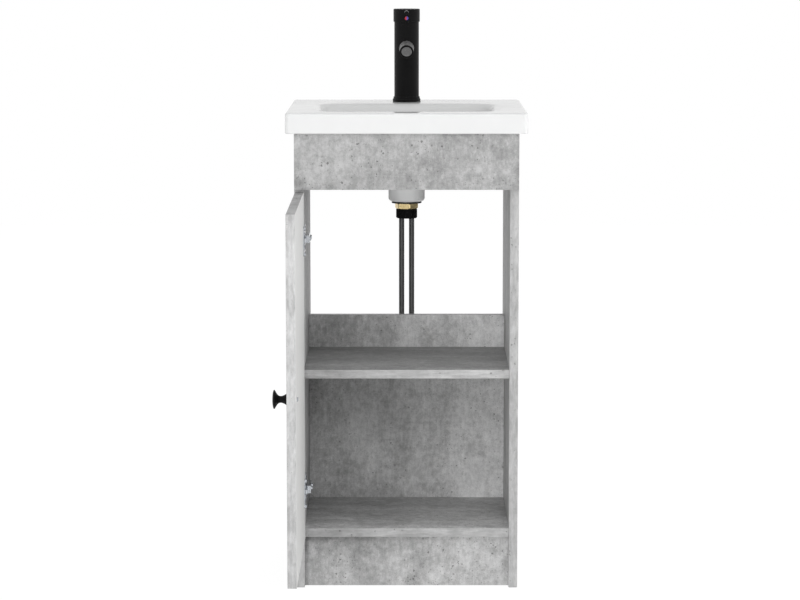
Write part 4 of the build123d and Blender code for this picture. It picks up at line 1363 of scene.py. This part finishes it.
@dataclass
class SupplyHose:
    """One flexible hose with its crimped and screwed ends."""

    side: str
    centre: tuple[float, float]
    radius: float = 0.00485
    length: float = 0.42
    ferrule_radius: float = 0.0062
    ferrule_length: float = 0.022
    hex_flats: float = 0.011
    shank_radius: float = 0.00495
    nut_flats: float = 0.019
    nut_height: float = 0.016
    nut_bore: float = 0.0076
    nut_bore_depth: float = 0.010
    nut_below: float = 0.022

    def build(self, palette: Palette, threads: Thread) -> None:
        """Make the hose and its fittings.

        Args:
            palette: The shared finishes.
            threads: The thread pattern.
        """
        low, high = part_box(f"{self.side}_hose")
        fittings = self.fittings(palette, threads, low.z, high.z)
        flex = self.tube(low.z, high.z)
        flex.data.materials.append(BraidedHose(f"Braid {self.side}", self.centre).material(palette.effects))
        settle(flex, CABINET, "hose", f"{self.side}_hose")

    def tube(self, low: float, high: float) -> Piece:
        """The hose's tube, which hangs straight down.

        Args:
            low: Height of its lower end.
            high: Height of its upper end.

        Returns:
            The curve object.
        """
        data = bpy.data.curves.new(f"{self.side}_flexible_tube", "CURVE")
        data.dimensions = "3D"
        data.bevel_depth = self.radius
        data.bevel_resolution = 6
        data.resolution_u = 16
        line = data.splines.new("NURBS")
        line.points.add(2)
        for point, z in zip(line.points, (high, (low + high) / 2, low)):
            point.co = (*self.centre, z, 1.0)
        line.order_u = 3
        line.use_endpoint_u = True
        made = bpy.data.objects.new(f"{self.side}_flexible_tube", data)
        bpy.context.scene.collection.objects.link(made)
        return made

    def fittings(self, palette: Palette, threads: Thread, low: float, high: float) -> list[Piece]:
        """The metal ends of the hose.

        Args:
            palette: The shared finishes.
            threads: The thread pattern.
            low: Height of the tube's lower end.
            high: Height of the tube's upper end.

        Returns:
            The pieces, each on the cabinet.
        """
        x, y = self.centre
        place = Matrix.Translation((x, y, 0.0))
        metal = palette.turned(f"Fitting metal {self.side}", (0.68, 0.68, 0.67), 0.2, (x, y, 0.0))
        pieces = []
        for end, start in (("upper", high - self.ferrule_length), ("lower", low)):
            ferrule = lathe(f"{self.side}_{end}_ferrule", self.crimped(start), metal, 48, place=place)
            pieces.append(settle(ferrule, CABINET, "nickel", "hose_ferrules"))
        pieces += self.shank(metal, threads, high)
        pieces += self.lower_end(metal, low)
        return pieces

    def crimped(self, start: float) -> Outline:
        """Outline of a ferrule with its pressed grooves, as radius and height pairs.

        Args:
            start: Height of its lower end.

        Returns:
            The pairs.
        """
        inner, outer, groove = self.radius + 0.0001, self.ferrule_radius, self.ferrule_radius - 0.0006
        outline = [(inner, start), (outer - 0.0004, start), (outer, start + 0.0005)]
        for middle in (0.3, 0.5, 0.7):
            z = start + self.ferrule_length * middle
            outline += [(outer, z - 0.0018), (groove, z - 0.001), (groove, z + 0.001), (outer, z + 0.0018)]
        top = start + self.ferrule_length
        return outline + [(outer, top - 0.0005), (outer - 0.0004, top), (inner, top)]

    def shank(self, metal: Material, threads: Thread, high: float) -> list[Piece]:
        """The upper end: a short hexagon and a threaded shank.

        Args:
            metal: The fitting's metal.
            threads: The thread pattern.
            high: Height of the tube's upper end.

        Returns:
            The two pieces.
        """
        x, y = self.centre
        place = Matrix.Translation((x, y, 0.0))
        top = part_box("hose_shanks")[1].z
        hexagon = Mesher.prism(self.hex_flats, high, high + 0.006, soften=0.0003)
        piece = Mesher.finish(hexagon, f"{self.side}_shank_hexagon", [metal], 30.0, place)
        pieces = [settle(piece, CABINET, "nickel", "hose_shanks")]
        core = self.shank_radius - 0.0004
        foot, chamfer = high + 0.0058, 0.0006
        outline = [(0.0, foot), (core, foot), (core, top - chamfer), (core - chamfer, top), (0.0, top)]
        rod = lathe(f"{self.side}_shank", outline, metal, 32, place=place)
        pieces.append(settle(rod, CABINET, "nickel", "hose_shanks"))
        run = top - high - 0.0085
        values = {"Core Radius": core, "Turns": run / 0.001, "Length": run, "Ridge": 0.00036}
        up = Matrix.Translation((x, y, high + 0.0068))
        ridge = threads.bake(f"{self.side}_shank_thread", [(0, 0, 0)], metal, values, up)
        pieces.append(settle(ridge, CABINET, "nickel", "hose_shanks"))
        return pieces

    def lower_end(self, metal: Material, low: float) -> list[Piece]:
        """The lower end: a tail and its swivel nut.

        Args:
            metal: The fitting's metal.
            low: Height of the tube's lower end.

        Returns:
            The two pieces.
        """
        place = Matrix.Translation((*self.centre, 0.0))
        base = low - self.nut_below
        seat = base + self.nut_bore_depth
        bore, neck, wide = 0.003, self.radius, self.nut_bore
        outline = [(bore, seat + 0.0002), (wide - 0.0004, seat + 0.0002), (wide, seat + 0.0006)]
        outline += [(wide, seat + 0.0022), (neck, seat + 0.0022), (neck, low), (bore, low)]
        tail = lathe(f"{self.side}_tail", outline, metal, 40, place=place)
        pieces = [settle(tail, CABINET, "nickel", "hose_tails")]
        shell = self.nut_shell(base)
        nut = Mesher.finish(shell, f"{self.side}_swivel_nut", [metal], 30.0, place)
        pieces.append(settle(nut, CABINET, "nickel", "hose_nuts"))
        return pieces

    def nut_shell(self, base: float) -> Mesh:
        """The nut's hexagon with an open bore below and a neck hole above.

        Args:
            base: Height of its lower face.

        Returns:
            The working mesh.
        """
        work = bmesh.new()
        steps = 24
        corner = self.nut_flats / 2 / math.cos(HEX_HALF_ANGLE)
        seat = base + self.nut_bore_depth
        top = base + self.nut_height
        neck = self.radius + 0.00015
        levels = [(self.nut_bore, seat, False), (self.nut_bore, base + 0.0006, False)]
        levels += [(self.nut_bore + 0.0006, base, False), (corner * 0.92, base, True)]
        levels += [(corner, base + 0.0008, True), (corner, top - 0.0008, True), (corner * 0.92, top, True)]
        levels += [(neck + 0.0004, top, False), (neck, top - 0.0004, False), (neck, seat, False)]
        rows = []
        for radius, z, six_sided in levels:
            row = []
            for index in range(steps):
                angle = math.tau * index / steps
                reach = radius
                if six_sided:
                    inside = (angle % (2 * HEX_HALF_ANGLE)) - HEX_HALF_ANGLE
                    reach = radius * math.cos(HEX_HALF_ANGLE) / math.cos(inside)
                row.append(work.verts.new((reach * math.cos(angle), reach * math.sin(angle), z)))
            rows.append(row)
        for lower, upper in zip(rows, rows[1:] + rows[:1]):
            for index in range(steps):
                after = (index + 1) % steps
                work.faces.new((lower[index], lower[after], upper[after], upper[index]))
        bmesh.ops.recalc_face_normals(work, faces=work.faces)
        return work


# -------------------------------------------------------------------- carcass


@dataclass
class Board:
    """One board of the unit."""

    node: str
    streaks: Streaks
    shift: Point
    bands: tuple[str, ...]
    body: str = CABINET
    # dark and light set the laminate's tones; some boards set them as painted light and shade.
    dark: float = 0.265
    light: float = 0.67
    painted_light_slope: float = 0.0
    soften: float = 0.0006

    def build(self, palette: Palette, inside: str = "") -> Piece:
        """Make the board with its edge bands.

        Args:
            palette: The shared finishes.
            inside: The side that is plain melamine, or nothing.

        Returns:
            The piece.
        """
        low, high = self.faces()
        work = Mesher.block(low, high, self.soften, 3)
        name = f"Laminate {self.node}"
        finish = StoneLaminate(name, self.streaks, self.shift, self.dark, self.light, self.painted_light_slope)
        band = palette.upright_band if self.streaks is Streaks.UPRIGHT else palette.level_band
        band = palette.door_band if self.body == DOOR else band
        coats = [finish.material(palette.effects), band, palette.door_inside]
        for face in work.faces:
            side = self.side_of(face.normal)
            face.material_index = 1 if side in self.bands else 2 if side == inside else 0
        piece = Mesher.finish(work, f"{self.node}_board", coats, 45.0)
        return settle(piece, self.body, "laminate", self.node)

    def faces(self) -> tuple[Vector, Vector]:
        """The board's own box, without the dowels that its node carries.

        Returns:
            Its lowest and highest corners.
        """
        low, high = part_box(self.node)
        if self.node in DOWELLED:
            low.x, high.x = -INNER_HALF, INNER_HALF
        if self.node == "front_top_rail":
            low.y = high.y - BOARD_THICKNESS
        return low, high

    @staticmethod
    def side_of(normal: Vector) -> str:
        """Name of the box side that a face looks to, such as -y."""
        axis = max(range(3), key=lambda index: abs(normal[index]))
        return ("+" if normal[axis] > 0 else "-") + "xyz"[axis]


class Carcass:
    """The fixed boards."""

    # The tones and slopes across X given here to the fascia, shelves, plinth and back panel are painted
    # light and shade: the middle shelf is darkened as if shaded, the bottom shelf, plinth and back panel are
    # lightened as if lit, and the slopes paint the open door's shade on the left, with the fascia's slope
    # painting a lighter left.
    boards = (
        Board("left_side_panel", Streaks.UPRIGHT, (0.4, 0.1, 0.7), ("-y", "+y")),
        Board("right_side_panel", Streaks.UPRIGHT, (1.3, 0.6, 0.2), ("-y", "+y")),
        Board("fascia_panel", Streaks.UPRIGHT, (0.15, 0.8, 0.37), ("-z",), light=0.66, painted_light_slope=-0.2),
        Board("front_top_rail", Streaks.LEVEL, (2.1, 1.8, 0.9), ("-z",)),
        Board("rear_top_rail", Streaks.LEVEL, (2.6, 0.3, 0.45), ("-z",)),
        Board("middle_shelf", Streaks.LEVEL, (0.9, 2.2, 1.1), ("-y",), dark=0.2, light=0.54, painted_light_slope=0.4),
        Board("bottom_shelf", Streaks.LEVEL, (1.7, 0.4, 1.9), ("-y",), dark=0.31, light=0.8, painted_light_slope=0.35),
        Board("plinth_board", Streaks.UPRIGHT, (3.3, 0.2, 0.6), (), dark=0.28, light=0.8, painted_light_slope=0.5),
        Board("back_panel", Streaks.UPRIGHT, (2.9, 1.4, 0.25), ("+z",), dark=0.32, light=0.95, painted_light_slope=0.75),
    )

    def build(self, palette: Palette) -> None:
        """Make every fixed board."""
        for board in self.boards:
            board.build(palette)


# ----------------------------------------------------------------------- door


@dataclass
class Door:
    """The door with its knob and its two concealed hinges."""

    knob_height: float = 0.024
    knob_radius: float = 0.0152
    waist_radius: float = 0.0056
    foot_radius: float = 0.009
    screw_radius: float = 0.004
    screw_height: float = 0.0024

    def build(self, palette: Palette, heads: CrossHeads) -> None:
        """Make the door's pieces.

        Args:
            palette: The shared finishes.
            heads: The screw head pattern.
        """
        door = Board("door_panel", Streaks.UPRIGHT, (0.7, 2.4, 1.5), ("-y", "+y", "-z"), DOOR, 0.27, 0.66)
        door.build(palette, inside="+x")
        self.knob(palette)
        low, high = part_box("knob_screw")
        middle = (low + high) / 2
        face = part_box("door_panel")[1].x
        values = {
            "Head Radius": self.screw_radius,
            "Crown Radius": self.screw_radius * 0.7,
            "Head Height": self.screw_height,
            "Slot Length": 0.0044,
            "Slot Width": 0.0009,
            "Slot Depth": 0.0011,
        }
        screw = heads.bake("knob_screw_head", [(face, middle.y, middle.z)], palette.steel, values)
        settle(screw, DOOR, "nickel", "knob_screw")

    def knob(self, palette: Palette) -> None:
        """The turned mushroom knob.

        Args:
            palette: The shared finishes.
        """
        low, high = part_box("door_knob")
        middle = (low + high) / 2
        tall = self.knob_height
        foot, soft = self.foot_radius, 0.0003
        outline = [(0.0, 0.0), (foot - soft, 0.0), (foot, soft), (foot, 0.0013)]
        outline += self.waist(tall)
        rim = self.knob_radius
        outline += [(rim, tall * 0.85), (rim, tall * 0.885)]
        for step in range(1, 13):
            turn = math.radians(90.0 * step / 12)
            outline.append((rim * math.cos(turn), tall * 0.885 + tall * 0.115 * math.sin(turn)))
        place = Axis.at(Vector((high.x, middle.y, middle.z)), Vector((-1.0, 0.0, 0.0)))
        piece = lathe("mushroom_knob", outline, palette.black, 72, 40.0, place)
        settle(piece, DOOR, "black_metal", "door_knob")

    def waist(self, tall: float) -> Outline:
        """The knob's hollow waist, as radius and height pairs along a smooth curve.

        Args:
            tall: The knob's height.

        Returns:
            The pairs.
        """
        ends = [(self.foot_radius, 0.0015), (self.waist_radius, tall * 0.36)]
        ends += [(self.waist_radius + 0.0014, tall * 0.62), (self.knob_radius, tall * 0.84)]
        points = []
        count = 20
        for step in range(1, count):
            part = step / count
            stage = part * (len(ends) - 1)
            index = min(int(stage), len(ends) - 2)
            inner = stage - index
            before = ends[max(index - 1, 0)]
            after = ends[min(index + 2, len(ends) - 1)]
            a, b = ends[index], ends[index + 1]
            pair = []
            for axis in (0, 1):
                slope_a = (b[axis] - before[axis]) / 2
                slope_b = (after[axis] - a[axis]) / 2
                t2, t3 = inner**2, inner**3
                value = (2 * t3 - 3 * t2 + 1) * a[axis] + (t3 - 2 * t2 + inner) * slope_a
                value += (3 * t2 - 2 * t3) * b[axis] + (t3 - t2) * slope_b
                pair.append(value)
            points.append((pair[0], pair[1]))
        return points


@dataclass
class Hinge:
    """One concealed hinge: cup, arm, plate and its screws."""

    level: str
    height: float
    cup_face: float = -0.1733
    cup_y: float = -0.0427
    cup_screw_spread: float = 0.022
    arm_face: float = -0.165
    adjuster_y: tuple[float, float] = (0.007, 0.033)
    plate_face: float = -0.174
    plate_y: float = 0.020
    plate_screw_spread: float = 0.016

    def build(self, palette: Palette, heads: CrossHeads) -> None:
        """Make the hinge's pieces.

        Args:
            palette: The shared finishes.
            heads: The screw head pattern.
        """
        for part, body in (("hinge_cup", DOOR), ("hinge_arm", CABINET), ("mounting_plate", CABINET)):
            node = f"{self.level}_{part}"
            piece = Mesher.refined(node, f"{node}_pressing", [palette.nickel])
            settle(piece, body, "nickel", node)
        self.screws(palette, heads)

    def screws(self, palette: Palette, heads: CrossHeads) -> None:
        """The visible screw heads, on the door and on the cabinet.

        Args:
            palette: The shared finishes.
            heads: The screw head pattern.
        """
        z = self.height
        cup = [(self.cup_face, self.cup_y, z + side * self.cup_screw_spread) for side in (-1, 1)]
        values = {"Head Radius": 0.0038, "Crown Radius": 0.0026, "Head Height": 0.0022, "Slot Depth": 0.0006}
        piece = heads.bake(f"{self.level}_cup_screw_heads", cup, palette.steel, values)
        settle(piece, DOOR, "nickel")
        arm = [(self.arm_face, y, z) for y in self.adjuster_y]
        values = {"Head Radius": 0.0037, "Crown Radius": 0.0031, "Head Height": 0.002, "Slot Depth": 0.0005}
        piece = heads.bake(f"{self.level}_adjuster_heads", arm, palette.steel, values)
        settle(piece, CABINET, "nickel")
        plate = [(self.plate_face, self.plate_y, z + side * self.plate_screw_spread) for side in (-1, 1)]
        values = {"Head Radius": 0.0046, "Crown Radius": 0.0036, "Head Height": 0.0008, "Slot Depth": 0.0007}
        piece = heads.bake(f"{self.level}_plate_screw_heads", plate, palette.steel, values)
        settle(piece, CABINET, "nickel")


# ---------------------------------------------------------------------- basin


@dataclass
class Basin:
    """The glazed basin with its waste and push plug."""

    axis: tuple[float, float] = (0.0, 0.123)
    collar_ribs: int = 36

    def build(self, palette: Palette, ribs: GripRibs) -> None:
        """Make the basin's pieces.

        Args:
            palette: The shared finishes.
            ribs: The rib pattern.
        """
        bowl = Mesher.refined("ceramic_basin", "glazed_basin", [palette.glaze], 30.0)
        settle(bowl, CABINET, "ceramic", "ceramic_basin")
        ring = Mesher.refined("overflow_ring", "overflow_trim", [palette.chrome], 35.0)
        settle(ring, CABINET, "chrome", "overflow_ring")
        self.waste(palette)
        self.collar(palette, ribs)
        self.plug(palette)

    def waste(self, palette: Palette) -> None:
        """The waste body, its washers and its brass nut.

        Args:
            palette: The shared finishes.
        """
        centre = (*self.axis, 0.0)
        brass = palette.turned("Machined brass", (0.96, 0.75, 0.39), 0.2, centre)
        parts = (
            ("waste_body", "brass", brass),
            ("waste_seal", "rubber", palette.rubber),
            ("waste_washer", "rubber", palette.rubber),
            ("waste_backnut", "brass", brass),
        )
        for node, slot, finish in parts:
            piece = Mesher.refined(node, f"{node}_piece", [finish])
            settle(piece, CABINET, slot, node)

    def collar(self, palette: Palette, ribs: GripRibs) -> None:
        """The ribbed black collar round the tail.

        Args:
            palette: The shared finishes.
            ribs: The rib pattern.
        """
        low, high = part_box("waste_collar")
        outer = (high.x - low.x) / 2 - 0.0006
        inner, mouth, soft, floor = 0.0167, 0.0142, 0.0006, low.z + 0.006
        outline = [(mouth, low.z), (outer - soft, low.z), (outer, low.z + soft), (outer, high.z - soft)]
        outline += [(outer - soft, high.z), (inner, high.z), (inner, floor), (mouth, floor)]
        place = Matrix.Translation((*self.axis, 0.0))
        piece = lathe("collar_ring", outline, palette.black_plastic, 72, 35.0, place)
        settle(piece, CABINET, "black_plastic", "waste_collar")
        middle = (low.z + high.z) / 2
        points = []
        for index in range(self.collar_ribs):
            turn = math.tau * index / self.collar_ribs
            points.append((outer * math.cos(turn), outer * math.sin(turn), middle))
        values = {"Rib Depth": 0.0014, "Rib Width": 0.0018, "Rib Height": high.z - low.z - 0.003}
        grip = ribs.bake("collar_ribs", points, palette.black_plastic, values, place)
        settle(grip, CABINET, "black_plastic")

    def plug(self, palette: Palette) -> None:
        """The domed push plug and its spindle.

        Args:
            palette: The shared finishes.
        """
        low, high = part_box("plug_cap")
        radius = (high.x - low.x) / 2
        tall = high.z - low.z
        edge = tall * 0.34
        soft = 0.0006
        outline = [(0.0, 0.0), (radius - soft, 0.0), (radius, soft), (radius, edge)]
        for step in range(1, 17):
            turn = math.radians(90.0 * step / 16)
            outline.append((radius * math.cos(turn), edge + (tall - edge) * math.sin(turn)))
        place = Matrix.Translation((*self.axis, low.z))
        piece = lathe("push_plug", outline, palette.black, 96, 40.0, place)
        settle(piece, PLUG, "black_metal", "plug_cap")
        rod = Mesher.refined("plug_spindle", "plug_spindle_rod", [palette.steel])
        settle(rod, PLUG, "brass", "plug_spindle")


# ------------------------------------------------------------------------ tap


@dataclass
class Tap:
    """The single-lever tap."""

    axis: tuple[float, float] = (0.0, 0.281)
    spout_tip: Point = (0.0, 0.174, 0.9154)
    face_tilt: float = 25.0
    screen_radius: float = 0.0074
    screen_pitch: float = 0.00135

    def build(self, palette: Palette, cells: ScreenCells) -> None:
        """Make the tap's pieces.

        Args:
            palette: The shared finishes.
            cells: The aerator's cell pattern.
        """
        body = Mesher.refined("tap_body", "tap_column_and_spout", [palette.black], 30.0)
        settle(body, CABINET, "black_metal", "tap_body")
        self.base_ring(palette)
        self.cap(palette)
        lever = Mesher.refined("lever_rod", "lever", [palette.black], 25.0)
        settle(lever, HANDLE, "black_metal", "lever_rod")
        marks = (("hot_mark", palette.red, "red_plastic"), ("cold_mark", palette.blue, "blue_plastic"))
        for node, finish, slot in marks:
            piece = Mesher.refined(node, f"{node}_enamel", [finish])
            settle(piece, HANDLE, slot, node)
        self.aerator(palette, cells)
        self.inner_parts(palette)

    def base_ring(self, palette: Palette) -> None:
        """The stepped ring round the foot.

        Args:
            palette: The shared finishes.
        """
        low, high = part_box("tap_base_ring")
        wide = (high.x - low.x) / 2
        narrow = wide - 0.0012
        inner = 0.02215
        step = low.z + 0.0055
        outline = [(inner, low.z), (wide - 0.0003, low.z), (wide, low.z + 0.0004), (wide, step - 0.0006)]
        outline += [(wide - 0.0003, step - 0.0002), (narrow, step), (narrow - 0.0001, high.z - 0.0007)]
        outline += [(narrow - 0.0006, high.z), (inner, high.z)]
        place = Matrix.Translation((*self.axis, 0.0))
        piece = lathe("base_ring", outline, palette.black, 96, 28.0, place)
        settle(piece, CABINET, "black_metal", "tap_base_ring")

    def cap(self, palette: Palette) -> None:
        """The handle's cap.

        Args:
            palette: The shared finishes.
        """
        piece = Mesher.refined("tap_cap", "handle_cap", [palette.black], 25.0)
        soften = piece.modifiers.new("Soft rim", "BEVEL")
        soften.width = 0.0003
        soften.segments = 2
        soften.limit_method = "ANGLE"
        soften.angle_limit = math.radians(40)
        settle(piece, HANDLE, "black_metal", "tap_cap")

    def aerator(self, palette: Palette, cells: ScreenCells) -> None:
        """The outlet insert: a ring and a screen of small cells.

        Args:
            palette: The shared finishes.
            cells: The cell pattern.
        """
        tilt = math.radians(self.face_tilt)
        facing = Vector((0.0, -math.cos(tilt), -math.sin(tilt)))
        place = Axis.at(Vector(self.spout_tip), facing)
        outline = [(0.0, -0.0085), (0.0091, -0.0085), (0.0091, -0.0004), (0.0088, 0.0), (0.0078, 0.0)]
        outline += [(0.0076, -0.0003), (0.0076, -0.0011), (0.0, -0.0011)]
        ring = lathe("aerator_ring", outline, palette.screen, place=place)
        settle(ring, CABINET, "black_plastic", "aerator")
        points = []
        rows = int(self.screen_radius / self.screen_pitch) + 1
        for row in range(-rows, rows + 1):
            for column in range(-rows, rows + 1):
                x = (column + (row % 2) / 2) * self.screen_pitch
                y = row * self.screen_pitch * math.sqrt(3) / 2
                if math.hypot(x, y) < self.screen_radius - self.screen_pitch / 2:
                    points.append((x, y, -0.0009))
        values = {"Cell Radius": self.screen_pitch * 0.46, "Cell Height": 0.0006}
        screen = cells.bake("aerator_screen", points, palette.screen, values, place)
        settle(screen, CABINET, "black_plastic")

    def inner_parts(self, palette: Palette) -> None:
        """Dress the cartridge and the other hidden parts, whose CAD shapes stay.

        Args:
            palette: The shared finishes.
        """
        dressed = {
            "tap_gasket": palette.rubber,
            "cartridge_housing": palette.white_plastic,
            "cartridge_nut": palette.steel,
            "cartridge_carrier": palette.white_plastic,
            "cross_pin": palette.steel,
            "handle_stem": palette.steel,
            "grub_screw": palette.steel,
            "hinge_pins": palette.steel,
        }
        for node, finish in dressed.items():
            dress(node, finish)


def dress(node: str, finish: Material) -> None:
    """Give a CAD node that stays its better material.

    Args:
        node: The CAD node.
        finish: Its material.
    """
    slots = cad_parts[node].material_slots
    for slot in slots:
        slot.material = finish
    LOG.info("%s keeps its CAD shape", node)


# ----------------------------------------------------------------- tap fixing


@dataclass
class TapFixing:
    """The stud, washers and nut that hold the tap down."""

    stud_y: float = 0.2935
    stud_radius: float = 0.00395

    def build(self, palette: Palette, threads: Thread) -> None:
        """Make the fixing's pieces.

        Args:
            palette: The shared finishes.
            threads: The thread pattern.
        """
        place = Matrix.Translation((0.0, self.stud_y, 0.0))
        low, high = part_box("fixing_stud")
        core = self.stud_radius - 0.0004
        soft = 0.0006
        outline = [(0.0, low.z), (core - soft, low.z), (core, low.z + soft), (core, high.z), (0.0, high.z)]
        rod = lathe("fixing_stud_rod", outline, palette.steel, 32, place=place)
        settle(rod, CABINET, "nickel", "fixing_stud")
        run = high.z - low.z - 0.002
        values = {"Core Radius": core, "Turns": run / 0.00125, "Length": run, "Ridge": 0.00036}
        up = Matrix.Translation((0.0, self.stud_y, low.z + 0.001))
        ridge = threads.bake("fixing_stud_thread", [(0, 0, 0)], palette.steel, values, up)
        settle(ridge, CABINET, "nickel")
        brass = palette.turned("Nut brass", (0.72, 0.56, 0.3), 0.26, (0.0, self.stud_y, 0.0))
        parts = (
            ("rubber_horseshoe", "rubber", palette.rubber),
            ("steel_horseshoe", "nickel", palette.steel),
            ("fixing_nut", "brass", brass),
        )
        for node, slot, finish in parts:
            piece = Mesher.refined(node, f"{node}_piece", [finish])
            settle(piece, CABINET, slot, node)


# ----------------------------------------------------------------------- main


def main() -> None:
    """Build the scene in order."""
    logging.basicConfig(level=logging.INFO, format="%(name)s: %(message)s")
    bpy.context.scene.view_settings.view_transform = "Standard"
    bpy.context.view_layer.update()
    Studio().build()
    palette = Palette(Effects())
    threads, heads, ribs, cells = Thread(), CrossHeads(), GripRibs(), ScreenCells()
    SupplyHose("hot", (-0.009, 0.281)).build(palette, threads)
    SupplyHose("cold", (0.009, 0.281)).build(palette, threads)
    Carcass().build(palette)
    Door().build(palette, heads)
    Hinge("lower", 0.1705).build(palette, heads)
    Hinge("upper", 0.6045).build(palette, heads)
    Basin().build(palette, ribs)
    Tap().build(palette, cells)
    TapFixing().build(palette, threads)


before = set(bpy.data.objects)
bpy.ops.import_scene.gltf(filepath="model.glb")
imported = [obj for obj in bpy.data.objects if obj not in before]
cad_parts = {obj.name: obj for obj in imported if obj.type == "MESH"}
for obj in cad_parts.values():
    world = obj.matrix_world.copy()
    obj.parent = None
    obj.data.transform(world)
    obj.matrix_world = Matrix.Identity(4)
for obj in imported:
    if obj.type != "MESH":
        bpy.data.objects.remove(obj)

if __name__ == "__main__":
    main()
